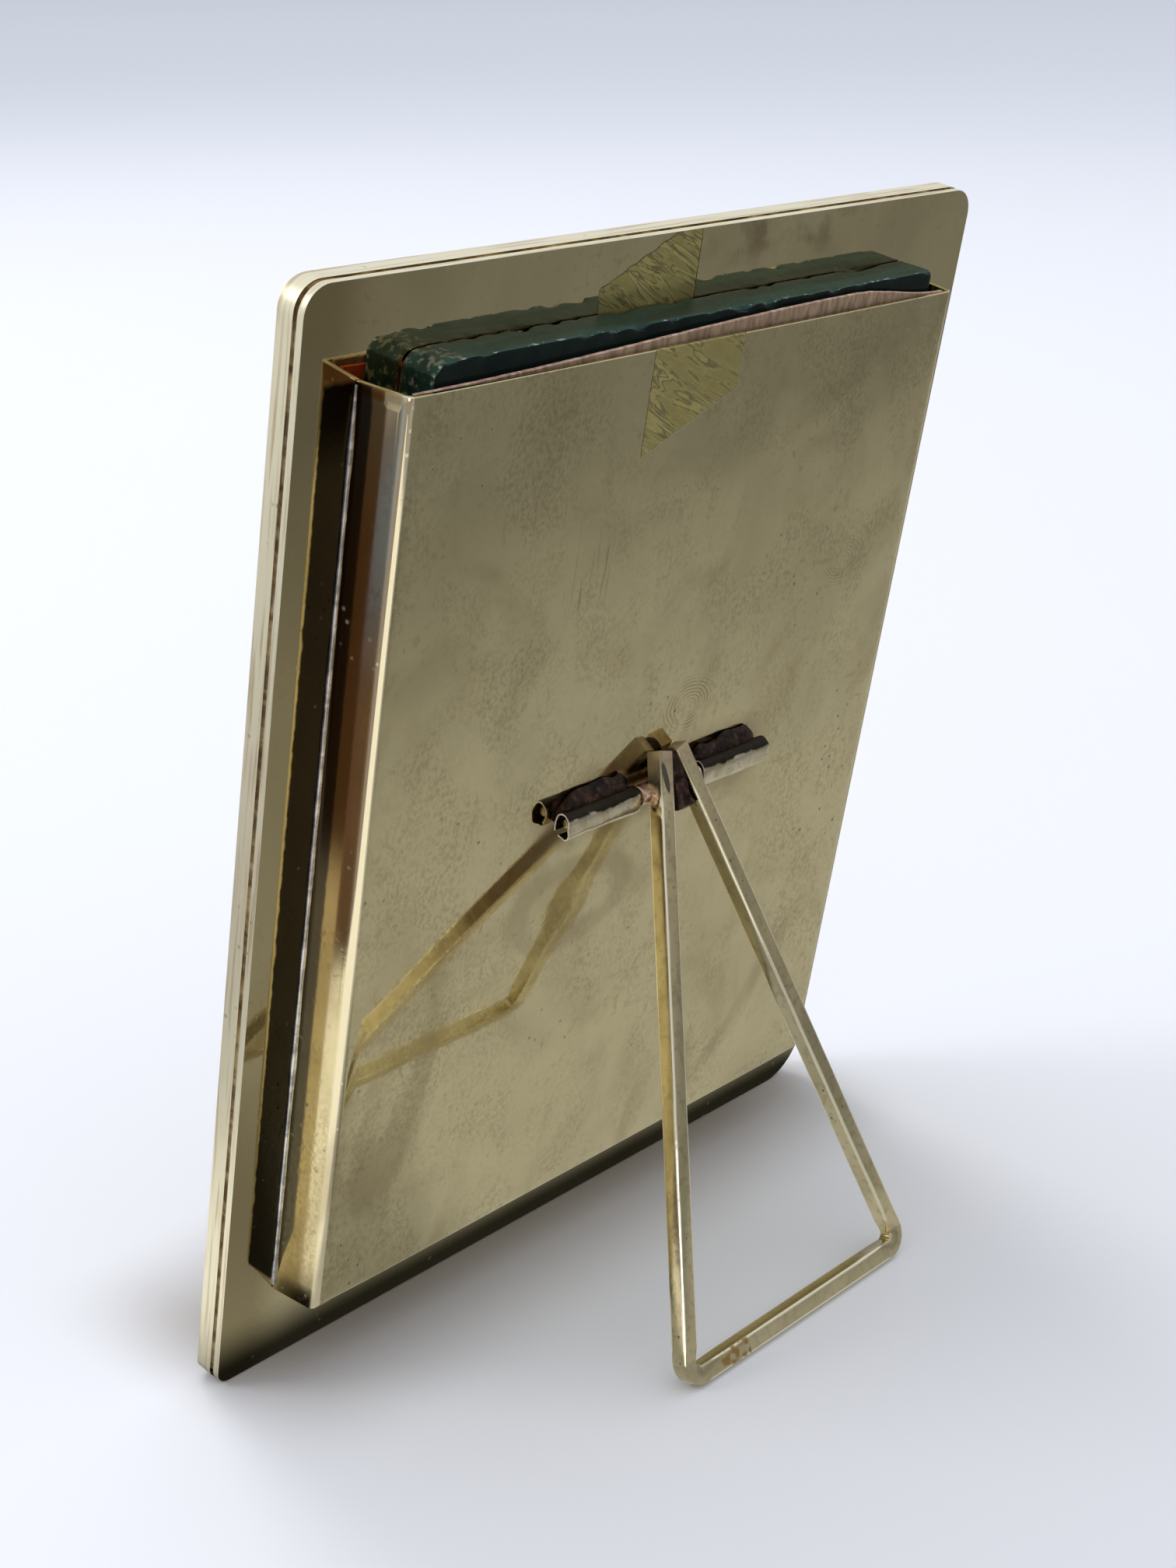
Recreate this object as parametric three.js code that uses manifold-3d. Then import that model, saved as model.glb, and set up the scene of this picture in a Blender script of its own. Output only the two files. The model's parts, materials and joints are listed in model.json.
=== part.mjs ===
// A small brass picture frame that leans back on a folding strut, as seen from behind.
// Millimetres, +Z up, the picture looks towards -Y, and +X is on the left from behind.
// The origin is the middle of the footprint, on the table.
import * as THREE from "three";
import { mergeVertices } from "three/addons/utils/BufferGeometryUtils.js";
import Module from "manifold-3d";

const wasm = await Module();
wasm.setup();

// Stance
const leanAngle = 11.1; // degrees, plates back from upright
const strutAngle = 28; // degrees, strut away from the back panel when it stands

// Front plate and the thinner sheet behind it, both cut with the window
const plateWidth = 88;
const plateHeight = 105;
const frontPlateThickness = 1.8;
const backSheetThickness = 0.7;
const plateSeam = 0.4; // open groove between the two, packed with solder further in
const topCornerRadius = 2.6;
const leftFootCornerRadius = 1.4;
const rightFootCornerRadius = 5;
const windowBorder = 15; // plate side to window
const windowSill = 14; // plate bottom to window
const windowHead = 13; // plate top to window
const windowCornerRadius = 1.5;
const windowStep = 0.6; // the sheet's window is this much larger on each side
const seamSolderInset = 0.9; // plate outline to the solder in the groove

// Pocket: one folded sheet soldered to the back, open at the top
const pocketMarginLeft = 6.65; // plate side (+X) to pocket
const pocketMarginRight = 8.1;
const pocketMarginTop = 8.05;
const pocketMarginBottom = 8.65;
const pocketWall = 0.5;
const pocketFoldRadius = 1; // outside of the fold
const solderLeg = 0.75; // width of the solder fillets at the foot of the walls

// What slides into the pocket, from front to back
const glassThickness = 3.8;
const glassGapLeft = 3.4; // pocket wall to glass
const glassGapRight = 1.9;
const glassProud = 1.85; // above the rim of the pocket
const glassChip = 1.1;
const pictureThickness = 0.25;
const pictureGapSide = 1;
const pictureBelowRim = 0.5;
const cardThickness = 0.35;
const cardGap = 0.1; // between the card and the start of the pocket's folds
const cardProud = 1.35; // highest point of the card's arched top edge
const cardPeakFromRight = 16; // from the pocket's right side to that point

// Hinge across the panel
const hingeHeight = 53.5; // plate bottom to pivot, along the plate
const hingeShift = -0.8; // pivot's middle from the plate's middle
const knuckleLength = 9.9;
const knuckleHeight = 2.6;
const knuckleDepth = 2.1;
const knuckleWall = 0.35;
const knuckleFilm = 0.35; // solder film between the knuckles and the panel
const knuckleLip = 0.2; // how far the lower edge of the rolled sheet points out
const sleeveLength = 8.7;
const sleeveRadius = 1;
const pinRadius = 0.5;
const pinRecess = 0.6; // inside the open ends of the knuckles

// Strut: one square bar bent to a triangle, its ends side by side at the top
const barSize = 1.8;
const barChamfer = 0.16;
const barStandOff = 0.38; // pivot axis to the near face of the bar
const barBendRadius = 2.4; // outside of the bend
const barEndGap = 0.5; // between the two ends at the top
const strutFootWidth = 35.2; // outside of the bar at the table

// Clearances
const sheetGap = 0.1; // between flat pieces that lie on each other
const solderGap = 0.1; // between solder and what it joins
const runningGap = 0.3; // between pieces that turn against each other
const pinGap = 0.15; // around the pin in the sleeve
const stopGap = 0.1; // bar ends to the panel, where the open strut stops

// The pocket is as deep as what slides into it, and the pivot lies in the middle of the knuckles.
const pocketDepth =
  pocketWall + glassThickness + pictureThickness + cardThickness + 4 * sheetGap;
const pivotStandOff = knuckleDepth / 2 + knuckleFilm; // panel to pivot axis

const lean = THREE.MathUtils.degToRad(leanAngle);
const opening = THREE.MathUtils.degToRad(strutAngle);
const arcSegments = 8;

const brass = { roughness: 0.22, metalness: 1 };
const polishedBrass = new THREE.MeshStandardMaterial({ color: 0xb9a878, ...brass });
const agedBrass = new THREE.MeshStandardMaterial({ color: 0x9a8f68, ...brass });
const solder = new THREE.MeshStandardMaterial({ color: 0xb4b4ae, roughness: 0.4, metalness: 0.9 });
const tarnish = new THREE.MeshStandardMaterial({ color: 0x3a2a20, roughness: 0.6, metalness: 0.5 });
const glass = new THREE.MeshStandardMaterial({ color: 0x4c7a66, roughness: 0.1, metalness: 0 });
const redPaper = new THREE.MeshStandardMaterial({ color: 0xd8401c, roughness: 0.7, metalness: 0 });
const brownCard = new THREE.MeshStandardMaterial({ color: 0x9c7f57, roughness: 0.9, metalness: 0 });

function solidFrom(geometry) {
  const bare = new THREE.BufferGeometry();
  bare.setAttribute("position", geometry.getAttribute("position"));
  if (geometry.index) bare.setIndex(geometry.index);
  const merged = mergeVertices(bare, 1e-4);
  const vertProperties = new Float32Array(merged.attributes.position.array);
  const triVerts = new Uint32Array(merged.index.array);
  return new wasm.Manifold(new wasm.Mesh({ numProp: 3, vertProperties, triVerts }));
}

function geometryFrom(solid) {
  const mesh = solid.getMesh();
  const geometry = new THREE.BufferGeometry();
  geometry.setAttribute("position", new THREE.BufferAttribute(mesh.vertProperties, 3));
  geometry.setIndex(new THREE.BufferAttribute(mesh.triVerts, 1));
  geometry.computeVertexNormals();
  return geometry;
}

function named(name, geometry, material) {
  const mesh = new THREE.Mesh(geometry, material);
  mesh.name = name;
  return mesh;
}

function flatExtrude(shape, depth) {
  const options = { depth, bevelEnabled: false, curveSegments: arcSegments };
  return new THREE.ExtrudeGeometry(shape, options);
}

// A shape drawn in X and Z, given thickness from front to back in Y.
function uprightSlab(shape, front, thickness) {
  return flatExtrude(shape, thickness)
    .rotateX(Math.PI / 2)
    .translate(0, front + thickness, 0);
}

// A shape drawn in Y and Z, run along X.
function barAlongX(shape, start, length) {
  const turn = new THREE.Matrix4().makeBasis(
    new THREE.Vector3(0, 1, 0),
    new THREE.Vector3(0, 0, 1),
    new THREE.Vector3(1, 0, 0),
  );
  return flatExtrude(shape, length).applyMatrix4(turn).translate(start, 0, 0);
}

function rodAlongX(radius, length) {
  return new THREE.CylinderGeometry(radius, radius, length, 28).rotateZ(Math.PI / 2);
}

// A rectangle with its own radius at each corner: left and right are +X and -X.
function roundedRectangle(left, right, bottom, top, radii, Outline = THREE.Shape) {
  const outline = new Outline();
  const quarter = Math.PI / 2;
  outline.absarc(left - radii.topLeft, top - radii.topLeft, radii.topLeft, 0, quarter);
  outline.absarc(right + radii.topRight, top - radii.topRight, radii.topRight, quarter, 2 * quarter);
  outline.absarc(
    right + radii.footRight,
    bottom + radii.footRight,
    radii.footRight,
    2 * quarter,
    3 * quarter,
  );
  outline.absarc(
    left - radii.footLeft,
    bottom + radii.footLeft,
    radii.footLeft,
    3 * quarter,
    4 * quarter,
  );
  outline.closePath();
  return outline;
}

function allCorners(radius) {
  return { topLeft: radius, topRight: radius, footRight: radius, footLeft: radius };
}

// The plates' outline, drawn in by an inset.
function plateOutline(inset = 0) {
  const half = plateWidth / 2 - inset;
  return roundedRectangle(half, -half, inset, plateHeight - inset, {
    topLeft: topCornerRadius,
    topRight: topCornerRadius,
    footRight: rightFootCornerRadius,
    footLeft: leftFootCornerRadius,
  });
}

// The window, grown on each side by a step.
function windowOutline(step, Outline = THREE.Path) {
  const half = plateWidth / 2 - windowBorder + step;
  const radii = allCorners(windowCornerRadius + step);
  return roundedRectangle(half, -half, windowSill - step, plateHeight - windowHead + step, radii, Outline);
}

const frontPlateFront = -(backSheetThickness + plateSeam + frontPlateThickness);

function frontPlate() {
  const outline = plateOutline();
  outline.holes.push(windowOutline(0));
  return uprightSlab(outline, frontPlateFront, frontPlateThickness);
}

function backSheet() {
  const outline = plateOutline();
  outline.holes.push(windowOutline(windowStep));
  return uprightSlab(outline, -backSheetThickness, backSheetThickness);
}

// The solder in the groove, a ring that stops short of both the outline and the window.
function seamSolder() {
  const outline = plateOutline(seamSolderInset);
  outline.holes.push(windowOutline(windowStep + seamSolderInset));
  const front = frontPlateFront + frontPlateThickness + solderGap;
  return uprightSlab(outline, front, plateSeam - 2 * solderGap);
}

const pocketLeft = plateWidth / 2 - pocketMarginLeft;
const pocketRight = -plateWidth / 2 + pocketMarginRight;
const pocketTop = plateHeight - pocketMarginTop;
const pocketBottom = pocketMarginBottom;

// A block with the pocket's folds, drawn in by an inset; past the front and the top it runs on.
function pocketBlock(inset, overrun) {
  const left = pocketLeft - inset;
  const right = pocketRight + inset;
  const back = pocketDepth - inset;
  const foot = pocketBottom + inset;
  const head = pocketTop + overrun;
  const front = solderGap - overrun;
  const radius = pocketFoldRadius - inset;
  const across = new THREE.Shape();
  across.moveTo(right, front);
  across.lineTo(left, front);
  across.absarc(left - radius, back - radius, radius, 0, Math.PI / 2);
  across.absarc(right + radius, back - radius, radius, Math.PI / 2, Math.PI);
  across.closePath();
  const sideways = new THREE.Shape();
  sideways.moveTo(front - 1, head);
  sideways.lineTo(front - 1, foot);
  sideways.absarc(back - radius, foot + radius, radius, -Math.PI / 2, 0);
  sideways.lineTo(back, head);
  sideways.closePath();
  const upright = flatExtrude(across, head - foot).translate(0, 0, foot);
  const width = left - right + 2;
  return solidFrom(upright).intersect(solidFrom(barAlongX(sideways, right - 1, width)));
}

function pocket() {
  return geometryFrom(pocketBlock(0, 0).subtract(pocketBlock(pocketWall, 1)));
}

// A hollow fillet in the corner of two faces, drawn from the corner outwards.
function filletShape(sideways) {
  const shape = new THREE.Shape();
  shape.moveTo(sideways * solderGap, solderGap);
  shape.lineTo(sideways * solderLeg, solderGap);
  shape.quadraticCurveTo(sideways * solderLeg * 0.3, solderLeg * 0.3, sideways * solderGap, solderLeg);
  shape.closePath();
  return shape;
}

function wallFillet(wall, sideways) {
  const length = pocketTop - pocketBottom;
  return flatExtrude(filletShape(sideways), length).translate(wall, 0, pocketBottom);
}

function footFillet() {
  const start = pocketRight + pocketFoldRadius;
  const length = pocketLeft - pocketRight - 2 * pocketFoldRadius;
  const shape = new THREE.Shape();
  shape.moveTo(solderGap, -solderGap);
  shape.lineTo(solderGap, -solderLeg);
  shape.quadraticCurveTo(solderLeg * 0.3, -solderLeg * 0.3, solderLeg, -solderGap);
  shape.closePath();
  return barAlongX(shape, start, length).translate(0, 0, pocketBottom);
}

const innerLeft = pocketLeft - pocketWall;
const innerRight = pocketRight + pocketWall;
const innerFoot = pocketBottom + pocketWall + sheetGap;

function glassPane() {
  const left = innerLeft - glassGapLeft;
  const right = innerRight + glassGapRight;
  const top = pocketTop + glassProud;
  const shape = new THREE.Shape();
  shape.moveTo(right, innerFoot);
  shape.lineTo(left, innerFoot);
  shape.lineTo(left, top - glassChip);
  shape.lineTo(left - glassChip, top);
  shape.lineTo(right, top);
  shape.closePath();
  return uprightSlab(shape, sheetGap, glassThickness);
}

const pictureFront = sheetGap + glassThickness + sheetGap;

function pictureSheet() {
  const left = innerLeft - pictureGapSide;
  const right = innerRight + pictureGapSide;
  const top = pocketTop - pictureBelowRim;
  const shape = roundedRectangle(left, right, innerFoot, top, allCorners(0.3));
  return uprightSlab(shape, pictureFront, pictureThickness);
}

function backingCard() {
  const foldInside = pocketFoldRadius - pocketWall;
  const left = innerLeft - foldInside - cardGap;
  const right = innerRight + foldInside + cardGap;
  const foot = pocketBottom + pocketWall + foldInside + cardGap;
  const peak = new THREE.Vector2(pocketRight + cardPeakFromRight, pocketTop + cardProud);
  const shape = new THREE.Shape();
  shape.moveTo(right, foot);
  shape.lineTo(left, foot);
  shape.lineTo(left, pocketTop);
  shape.bezierCurveTo(
    (left + peak.x) / 2,
    pocketTop,
    (left + 2 * peak.x) / 3,
    peak.y,
    peak.x,
    peak.y,
  );
  shape.bezierCurveTo((peak.x + right) / 2, peak.y, (peak.x + 2 * right) / 3, pocketTop, right, pocketTop);
  shape.closePath();
  return uprightSlab(shape, pictureFront + pictureThickness + sheetGap, cardThickness);
}

// Section of the rolled knuckle: an oval whose lower outer side runs out to a lip.
function knuckleOutline(wall, lip, Outline) {
  const halfDepth = knuckleDepth / 2 - wall;
  const halfHeight = knuckleHeight / 2 - wall;
  const steps = 32;
  const points = [];
  for (let i = 0; i < steps; i++) {
    const turn = (2 * Math.PI * i) / steps;
    const towardsLip = Math.max(0, Math.cos(turn + Math.PI / 4));
    const reach = 1 + lip * towardsLip ** 8;
    points.push(new THREE.Vector2(halfDepth * Math.cos(turn) * reach, halfHeight * Math.sin(turn) * reach));
  }
  return new Outline(points);
}

function knuckle(side) {
  const shape = knuckleOutline(0, knuckleLip, THREE.Shape);
  shape.holes.push(knuckleOutline(knuckleWall, knuckleLip / 2, THREE.Path));
  const near = sleeveLength / 2 + runningGap;
  return barAlongX(shape, side > 0 ? near : -near - knuckleLength, knuckleLength);
}

// The film of solder between a knuckle and the panel.
function knuckleSolder(side) {
  const front = -pivotStandOff + solderGap / 2;
  const back = -knuckleDepth / 2 - solderGap / 2;
  const shape = new THREE.Shape();
  shape.moveTo(front, -knuckleHeight * 0.35);
  shape.lineTo(back, -knuckleHeight * 0.2);
  shape.lineTo(back, knuckleHeight * 0.2);
  shape.lineTo(front, knuckleHeight * 0.35);
  shape.closePath();
  const near = sleeveLength / 2 + runningGap;
  return barAlongX(shape, side > 0 ? near : -near - knuckleLength, knuckleLength);
}

function hingeSleeve() {
  const shape = new THREE.Shape().absarc(0, 0, sleeveRadius, 0, 2 * Math.PI);
  shape.holes.push(new THREE.Path().absarc(0, 0, pinRadius + pinGap, 0, 2 * Math.PI));
  return barAlongX(shape, -sleeveLength / 2, sleeveLength);
}

function hingePin() {
  return rodAlongX(pinRadius, sleeveLength + 2 * (runningGap + knuckleLength - pinRecess));
}

// Where the strut stands: its plane leans forward by what the opening leaves of the lean.
const pivotY = pocketDepth + pivotStandOff;
const pivotHeight = hingeHeight * Math.cos(lean) - pivotY * Math.sin(lean);
const strutLean = opening - lean;
const halfBar = barSize / 2;
const footDrop = halfBar * Math.cos(strutLean) + (halfBar - barChamfer) * Math.sin(strutLean);
const barMiddleRise = (barStandOff + halfBar) * Math.sin(strutLean);
const strutReach = (pivotHeight + barMiddleRise - footDrop) / Math.cos(strutLean);
const strutHead =
  (pivotStandOff + barStandOff * Math.cos(opening) - stopGap) / Math.sin(opening);

// The two corners of one leg: its middle line at the head and at the foot.
const legHeadX = barEndGap / 2 + halfBar;
const legFootX = strutFootWidth / 2 - halfBar;
const legAngle = Math.atan2(legFootX - legHeadX, strutReach + strutHead);

function strutOutline() {
  const middleRadius = barBendRadius - halfBar;
  const innerRadius = middleRadius - halfBar;
  const cornerAngle = Math.PI / 2 - legAngle;
  const bendX = legFootX - middleRadius / Math.tan(cornerAngle / 2);
  const bendZ = -strutReach + middleRadius;
  const halfCut = halfBar / Math.cos(legAngle);
  const down = -Math.PI / 2;
  const shape = new THREE.Shape();
  shape.moveTo(legHeadX + halfCut, strutHead);
  shape.absarc(bendX, bendZ, barBendRadius, legAngle, down, true);
  shape.absarc(-bendX, bendZ, barBendRadius, down, -Math.PI - legAngle, true);
  shape.lineTo(-legHeadX - halfCut, strutHead);
  shape.lineTo(-legHeadX + halfCut, strutHead);
  shape.absarc(-bendX, bendZ, innerRadius, Math.PI - legAngle, 1.5 * Math.PI, false);
  shape.absarc(bendX, bendZ, innerRadius, down, legAngle, false);
  shape.lineTo(legHeadX - halfCut, strutHead);
  shape.closePath();
  return shape;
}

// The bent bar, notched where it sits over the sleeve.
function strutBar() {
  const bent = new THREE.ExtrudeGeometry(strutOutline(), {
    depth: barSize - 2 * barChamfer,
    bevelThickness: barChamfer,
    bevelSize: barChamfer,
    bevelOffset: -barChamfer,
    bevelSegments: 1,
    curveSegments: arcSegments,
  });
  bent.rotateX(Math.PI / 2).translate(0, barStandOff + barSize - barChamfer, 0);
  const notch = rodAlongX(sleeveRadius + solderGap, 2 * sleeveLength);
  return geometryFrom(solidFrom(bent).subtract(solidFrom(notch)));
}

// The web of solder between the two ends of the bar.
function strutSolder() {
  const inside = (z) =>
    legHeadX + (strutHead - z) * Math.tan(legAngle) - halfBar / Math.cos(legAngle) - solderGap;
  const top = strutHead - 2 * barChamfer;
  const foot = sleeveRadius + solderGap;
  const shape = new THREE.Shape();
  shape.moveTo(-inside(top), top);
  shape.lineTo(-inside(foot), foot);
  shape.lineTo(inside(foot), foot);
  shape.lineTo(inside(top), top);
  shape.closePath();
  return uprightSlab(shape, barStandOff + barChamfer, barSize - 2 * barChamfer);
}

// The frame itself, everything that leans with the plates.
const leaning = new THREE.Group();
leaning.rotation.x = -lean;
leaning.add(named("front_plate", frontPlate(), polishedBrass));
leaning.add(named("back_sheet", backSheet(), agedBrass));
leaning.add(named("seam_solder", seamSolder(), tarnish));
leaning.add(named("pocket", pocket(), agedBrass));
leaning.add(named("pocket_solder_left", wallFillet(pocketLeft, 1), solder));
leaning.add(named("pocket_solder_right", wallFillet(pocketRight, -1), solder));
leaning.add(named("pocket_solder_foot", footFillet(), solder));
leaning.add(named("glass_pane", glassPane(), glass));
leaning.add(named("picture_sheet", pictureSheet(), redPaper));
leaning.add(named("backing_card", backingCard(), brownCard));

const hinge = new THREE.Group();
hinge.position.set(hingeShift, pivotY, hingeHeight);
hinge.add(named("hinge_knuckle_left", knuckle(1), agedBrass));
hinge.add(named("hinge_knuckle_right", knuckle(-1), agedBrass));
hinge.add(named("knuckle_solder_left", knuckleSolder(1), tarnish));
hinge.add(named("knuckle_solder_right", knuckleSolder(-1), tarnish));
leaning.add(hinge);

const strut = new THREE.Group();
strut.rotation.x = opening;
strut.add(named("hinge_pin", hingePin(), agedBrass));
strut.add(named("hinge_sleeve", hingeSleeve(), agedBrass));
strut.add(named("strut_bar", strutBar(), polishedBrass));
strut.add(named("strut_solder", strutSolder(), tarnish));
hinge.add(strut);

const pictureFrame = new THREE.Group();
pictureFrame.add(leaning);
pictureFrame.updateMatrixWorld(true);
const footprint = new THREE.Box3().setFromObject(pictureFrame, true);
leaning.position.y = -(footprint.min.y + footprint.max.y) / 2;
leaning.position.z = -footprint.min.z;

export default pictureFrame;
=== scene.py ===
import json
import math
import bpy
import bmesh
from mathutils import Matrix, Vector, noise


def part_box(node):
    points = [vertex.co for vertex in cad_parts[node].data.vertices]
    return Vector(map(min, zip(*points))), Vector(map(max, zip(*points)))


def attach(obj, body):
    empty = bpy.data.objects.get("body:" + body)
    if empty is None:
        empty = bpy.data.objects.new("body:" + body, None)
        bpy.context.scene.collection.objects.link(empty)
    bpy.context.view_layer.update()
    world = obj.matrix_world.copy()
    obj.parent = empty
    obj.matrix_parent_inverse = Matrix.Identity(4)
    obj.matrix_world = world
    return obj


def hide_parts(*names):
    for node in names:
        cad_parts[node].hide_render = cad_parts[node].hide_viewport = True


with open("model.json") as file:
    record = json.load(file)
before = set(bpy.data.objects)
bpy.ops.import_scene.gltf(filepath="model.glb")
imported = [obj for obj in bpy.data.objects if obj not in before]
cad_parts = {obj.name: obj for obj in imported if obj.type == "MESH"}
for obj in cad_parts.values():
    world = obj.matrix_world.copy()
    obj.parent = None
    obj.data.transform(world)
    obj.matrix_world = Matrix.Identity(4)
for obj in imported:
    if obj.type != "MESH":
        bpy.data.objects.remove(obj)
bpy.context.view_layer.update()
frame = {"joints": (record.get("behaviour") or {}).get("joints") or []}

mm = 0.001
scene = bpy.context.scene
joints = {joint["name"]: joint for joint in frame["joints"]}

# Where the plates lean: x across, y out of the back face, z up the plate, from its foot.
plateUp = Vector(joints["glass_lift"]["axis"]).normalized()
lean = math.asin(plateUp.y)
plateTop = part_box("back_sheet")[1]
plateHeight = 105 * mm
plateFoot = Vector((0, plateTop.y - plateHeight * plateUp.y, 0))
onPlate = Matrix.Translation(plateFoot) @ Matrix.Rotation(-lean, 4, "X")

# Where the strut stands: x across, y away from the panel, z up the strut, from the hinge.
pivot = Vector(joints["strut_fold"]["pos_m"])
strutOpening = math.radians(28)
onStrut = Matrix.Translation(pivot) @ Matrix.Rotation(strutOpening - lean, 4, "X")
onHinge = Matrix.Translation(pivot) @ Matrix.Rotation(-lean, 4, "X")


# Camera

cameraView = {
    "target": (-0.00846, -0.01584, 0.04535),
    "distance": 0.2437,
    "azimuth": 132.23,
    "elevation": 19.58,
    "roll": -0.67,
    "lens": 54.8,
}


def makeCamera(view):
    turn = math.radians(view["azimuth"])
    rise = math.radians(view["elevation"])
    back = Vector(
        (math.sin(turn) * math.cos(rise), -math.cos(turn) * math.cos(rise), math.sin(rise))
    )
    data = bpy.data.cameras.new("camera")
    data.lens = view["lens"]
    data.sensor_width = 36
    data.clip_start = 0.005
    data.clip_end = 60
    camera = bpy.data.objects.new("camera", data)
    camera.location = Vector(view["target"]) + back * view["distance"]
    aim = back.to_track_quat("Z", "Y")
    camera.rotation_mode = "QUATERNION"
    camera.rotation_quaternion = aim @ Matrix.Rotation(
        math.radians(view["roll"]), 3, "Z"
    ).to_quaternion()
    scene.collection.objects.link(camera)
    scene.camera = camera


makeCamera(cameraView)
scene.view_settings.view_transform = "Standard"
print("camera placed")


# Shader helpers


class Wire:
    def __init__(self, sheet, socket):
        self.sheet = sheet
        self.socket = socket

    def sum(self, operation, *values):
        return self.sheet.sum(operation, *values)

    def __add__(self, other):
        return self.sum("ADD", self, other)

    def __radd__(self, other):
        return self.sum("ADD", other, self)

    def __sub__(self, other):
        return self.sum("SUBTRACT", self, other)

    def __rsub__(self, other):
        return self.sum("SUBTRACT", other, self)

    def __mul__(self, other):
        return self.sum("MULTIPLY", self, other)

    def __rmul__(self, other):
        return self.sum("MULTIPLY", other, self)

    def __truediv__(self, other):
        return self.sum("DIVIDE", self, other)

    def __rtruediv__(self, other):
        return self.sum("DIVIDE", other, self)

    def __pow__(self, other):
        return self.sum("POWER", self, other)

    def __abs__(self):
        return self.sum("ABSOLUTE", self)


class Sheet:
    def __init__(self, tree):
        self.tree = tree
        self.tree.nodes.clear()

    # One node: its settings first, then the values or links of its sockets.
    def node(self, kind, settings=None, sockets=None, output=0):
        made = self.tree.nodes.new(kind)
        for name, value in (settings or {}).items():
            setattr(made, name, value)
        for key, value in (sockets or {}).items():
            self.feed(made.inputs[key], value)
        return Wire(self, made.outputs[output] if made.outputs else None)

    def sum(self, operation, *values):
        return self.node("ShaderNodeMath", {"operation": operation}, dict(enumerate(values)))

    def feed(self, socket, value):
        if isinstance(value, Wire):
            self.tree.links.new(value.socket, socket)
        elif socket.type == "RGBA" and len(value) == 3:
            socket.default_value = (*value, 1)
        else:
            socket.default_value = value

    def place(self, output="Object"):
        return self.node("ShaderNodeTexCoord", None, None, output)

    # Object coordinates turned and moved to where a piece stands, optionally stretched.
    def placeOn(self, matrix, stretch=(1, 1, 1)):
        back = matrix.inverted()
        turned = self.node(
            "ShaderNodeMapping",
            {"vector_type": "POINT"},
            {
                "Vector": self.place(),
                "Location": back.translation,
                "Rotation": back.to_euler(),
            },
        )
        if stretch == (1, 1, 1):
            return turned
        return self.node(
            "ShaderNodeVectorMath", {"operation": "MULTIPLY"}, {0: turned, 1: stretch}
        )

    def split(self, vector):
        return [
            self.node("ShaderNodeSeparateXYZ", None, {"Vector": vector}, axis)
            for axis in ("X", "Y", "Z")
        ]

    def noise(self, vector, scale, detail=2, distortion=0, roughness=0.5):
        return self.node(
            "ShaderNodeTexNoise",
            None,
            {
                "Vector": vector,
                "Scale": scale,
                "Detail": detail,
                "Distortion": distortion,
                "Roughness": roughness,
            },
            "Fac",
        )

    def cells(self, vector, scale):
        return self.node(
            "ShaderNodeTexVoronoi", None, {"Vector": vector, "Scale": scale}, "Distance"
        )

    # 0 below low, 1 above high, smooth between.
    def step(self, value, low, high):
        return self.node(
            "ShaderNodeMapRange",
            {"interpolation_type": "SMOOTHSTEP"},
            {"Value": value, "From Min": low, "From Max": high},
        )

    # 1 between low and high, with soft edges.
    def band(self, value, low, high, soft):
        return self.step(value, low - soft, low + soft) * self.step(
            value, high + soft, high - soft
        )

    def mix(self, factor, first, second):
        return self.node(
            "ShaderNodeMix",
            {"data_type": "RGBA"},
            {0: factor, 6: first, 7: second},
            2,
        )

    def bump(self, height, strength):
        sockets = {"Height": height, "Strength": strength, "Distance": 1.0}
        return self.node("ShaderNodeBump", None, sockets)

    def shader(self, sockets):
        surface = self.node("ShaderNodeBsdfPrincipled", None, sockets)
        self.node("ShaderNodeOutputMaterial", None, {"Surface": surface})


def newSheet(name):
    material = bpy.data.materials.new(name)
    material.use_nodes = True
    return material, Sheet(material.node_tree)


# Finishes

brassTone = {
    "light": (0.78, 0.685, 0.41),
    "dull": (0.64, 0.56, 0.33),
    "brown": (0.20, 0.115, 0.055),
    "black": (0.035, 0.022, 0.014),
    "residue": (0.30, 0.25, 0.055),
    "residuePale": (0.44, 0.38, 0.11),
    "residueDark": (0.10, 0.075, 0.015),
    "marginPaintedShade": (0.32, 0.25, 0.12),
    "headCornerDark": (0.42, 0.31, 0.15),
    "paintedWallReflection": (0.010, 0.008, 0.005),
    "paintedReflectionFleck": (0.4, 0.28, 0.08),
    "mottle": (0.34, 0.27, 0.14),
    "patch": (0.36, 0.27, 0.13),
    "shadeStreaks": (0.33, 0.26, 0.13),
    "foldPaintedHighlight": (1.0, 0.90, 0.62),
    "wallPaintedReflection": (0.62, 0.40, 0.30),
    "edgeDark": (0.66, 0.56, 0.36),
    "edgeLight": (0.93, 0.87, 0.65),
    "edgeCloud": (0.60, 0.46, 0.32),
    "barLight": (0.84, 0.74, 0.47),
    "barDull": (0.62, 0.54, 0.33),
    "barSpeckle": (0.38, 0.32, 0.18),
    "barDrawn": (0.42, 0.36, 0.22),
    "barSpot": (0.05, 0.045, 0.05),
    "barShade": (0.13, 0.125, 0.085),
    "barFoot": (0.44, 0.38, 0.25),
    "barCornerHighlight": (1.0, 0.93, 0.68),
    "barCrust": (0.30, 0.165, 0.02),
    "knuckleLight": (0.86, 0.79, 0.58),
    "knuckleDull": (0.66, 0.55, 0.36),
    "knuckleScorch": (0.30, 0.20, 0.13),
    "knuckleDrips": (0.50, 0.30, 0.22),
    "knuckleFlux": (0.012, 0.007, 0.005),
}


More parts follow.
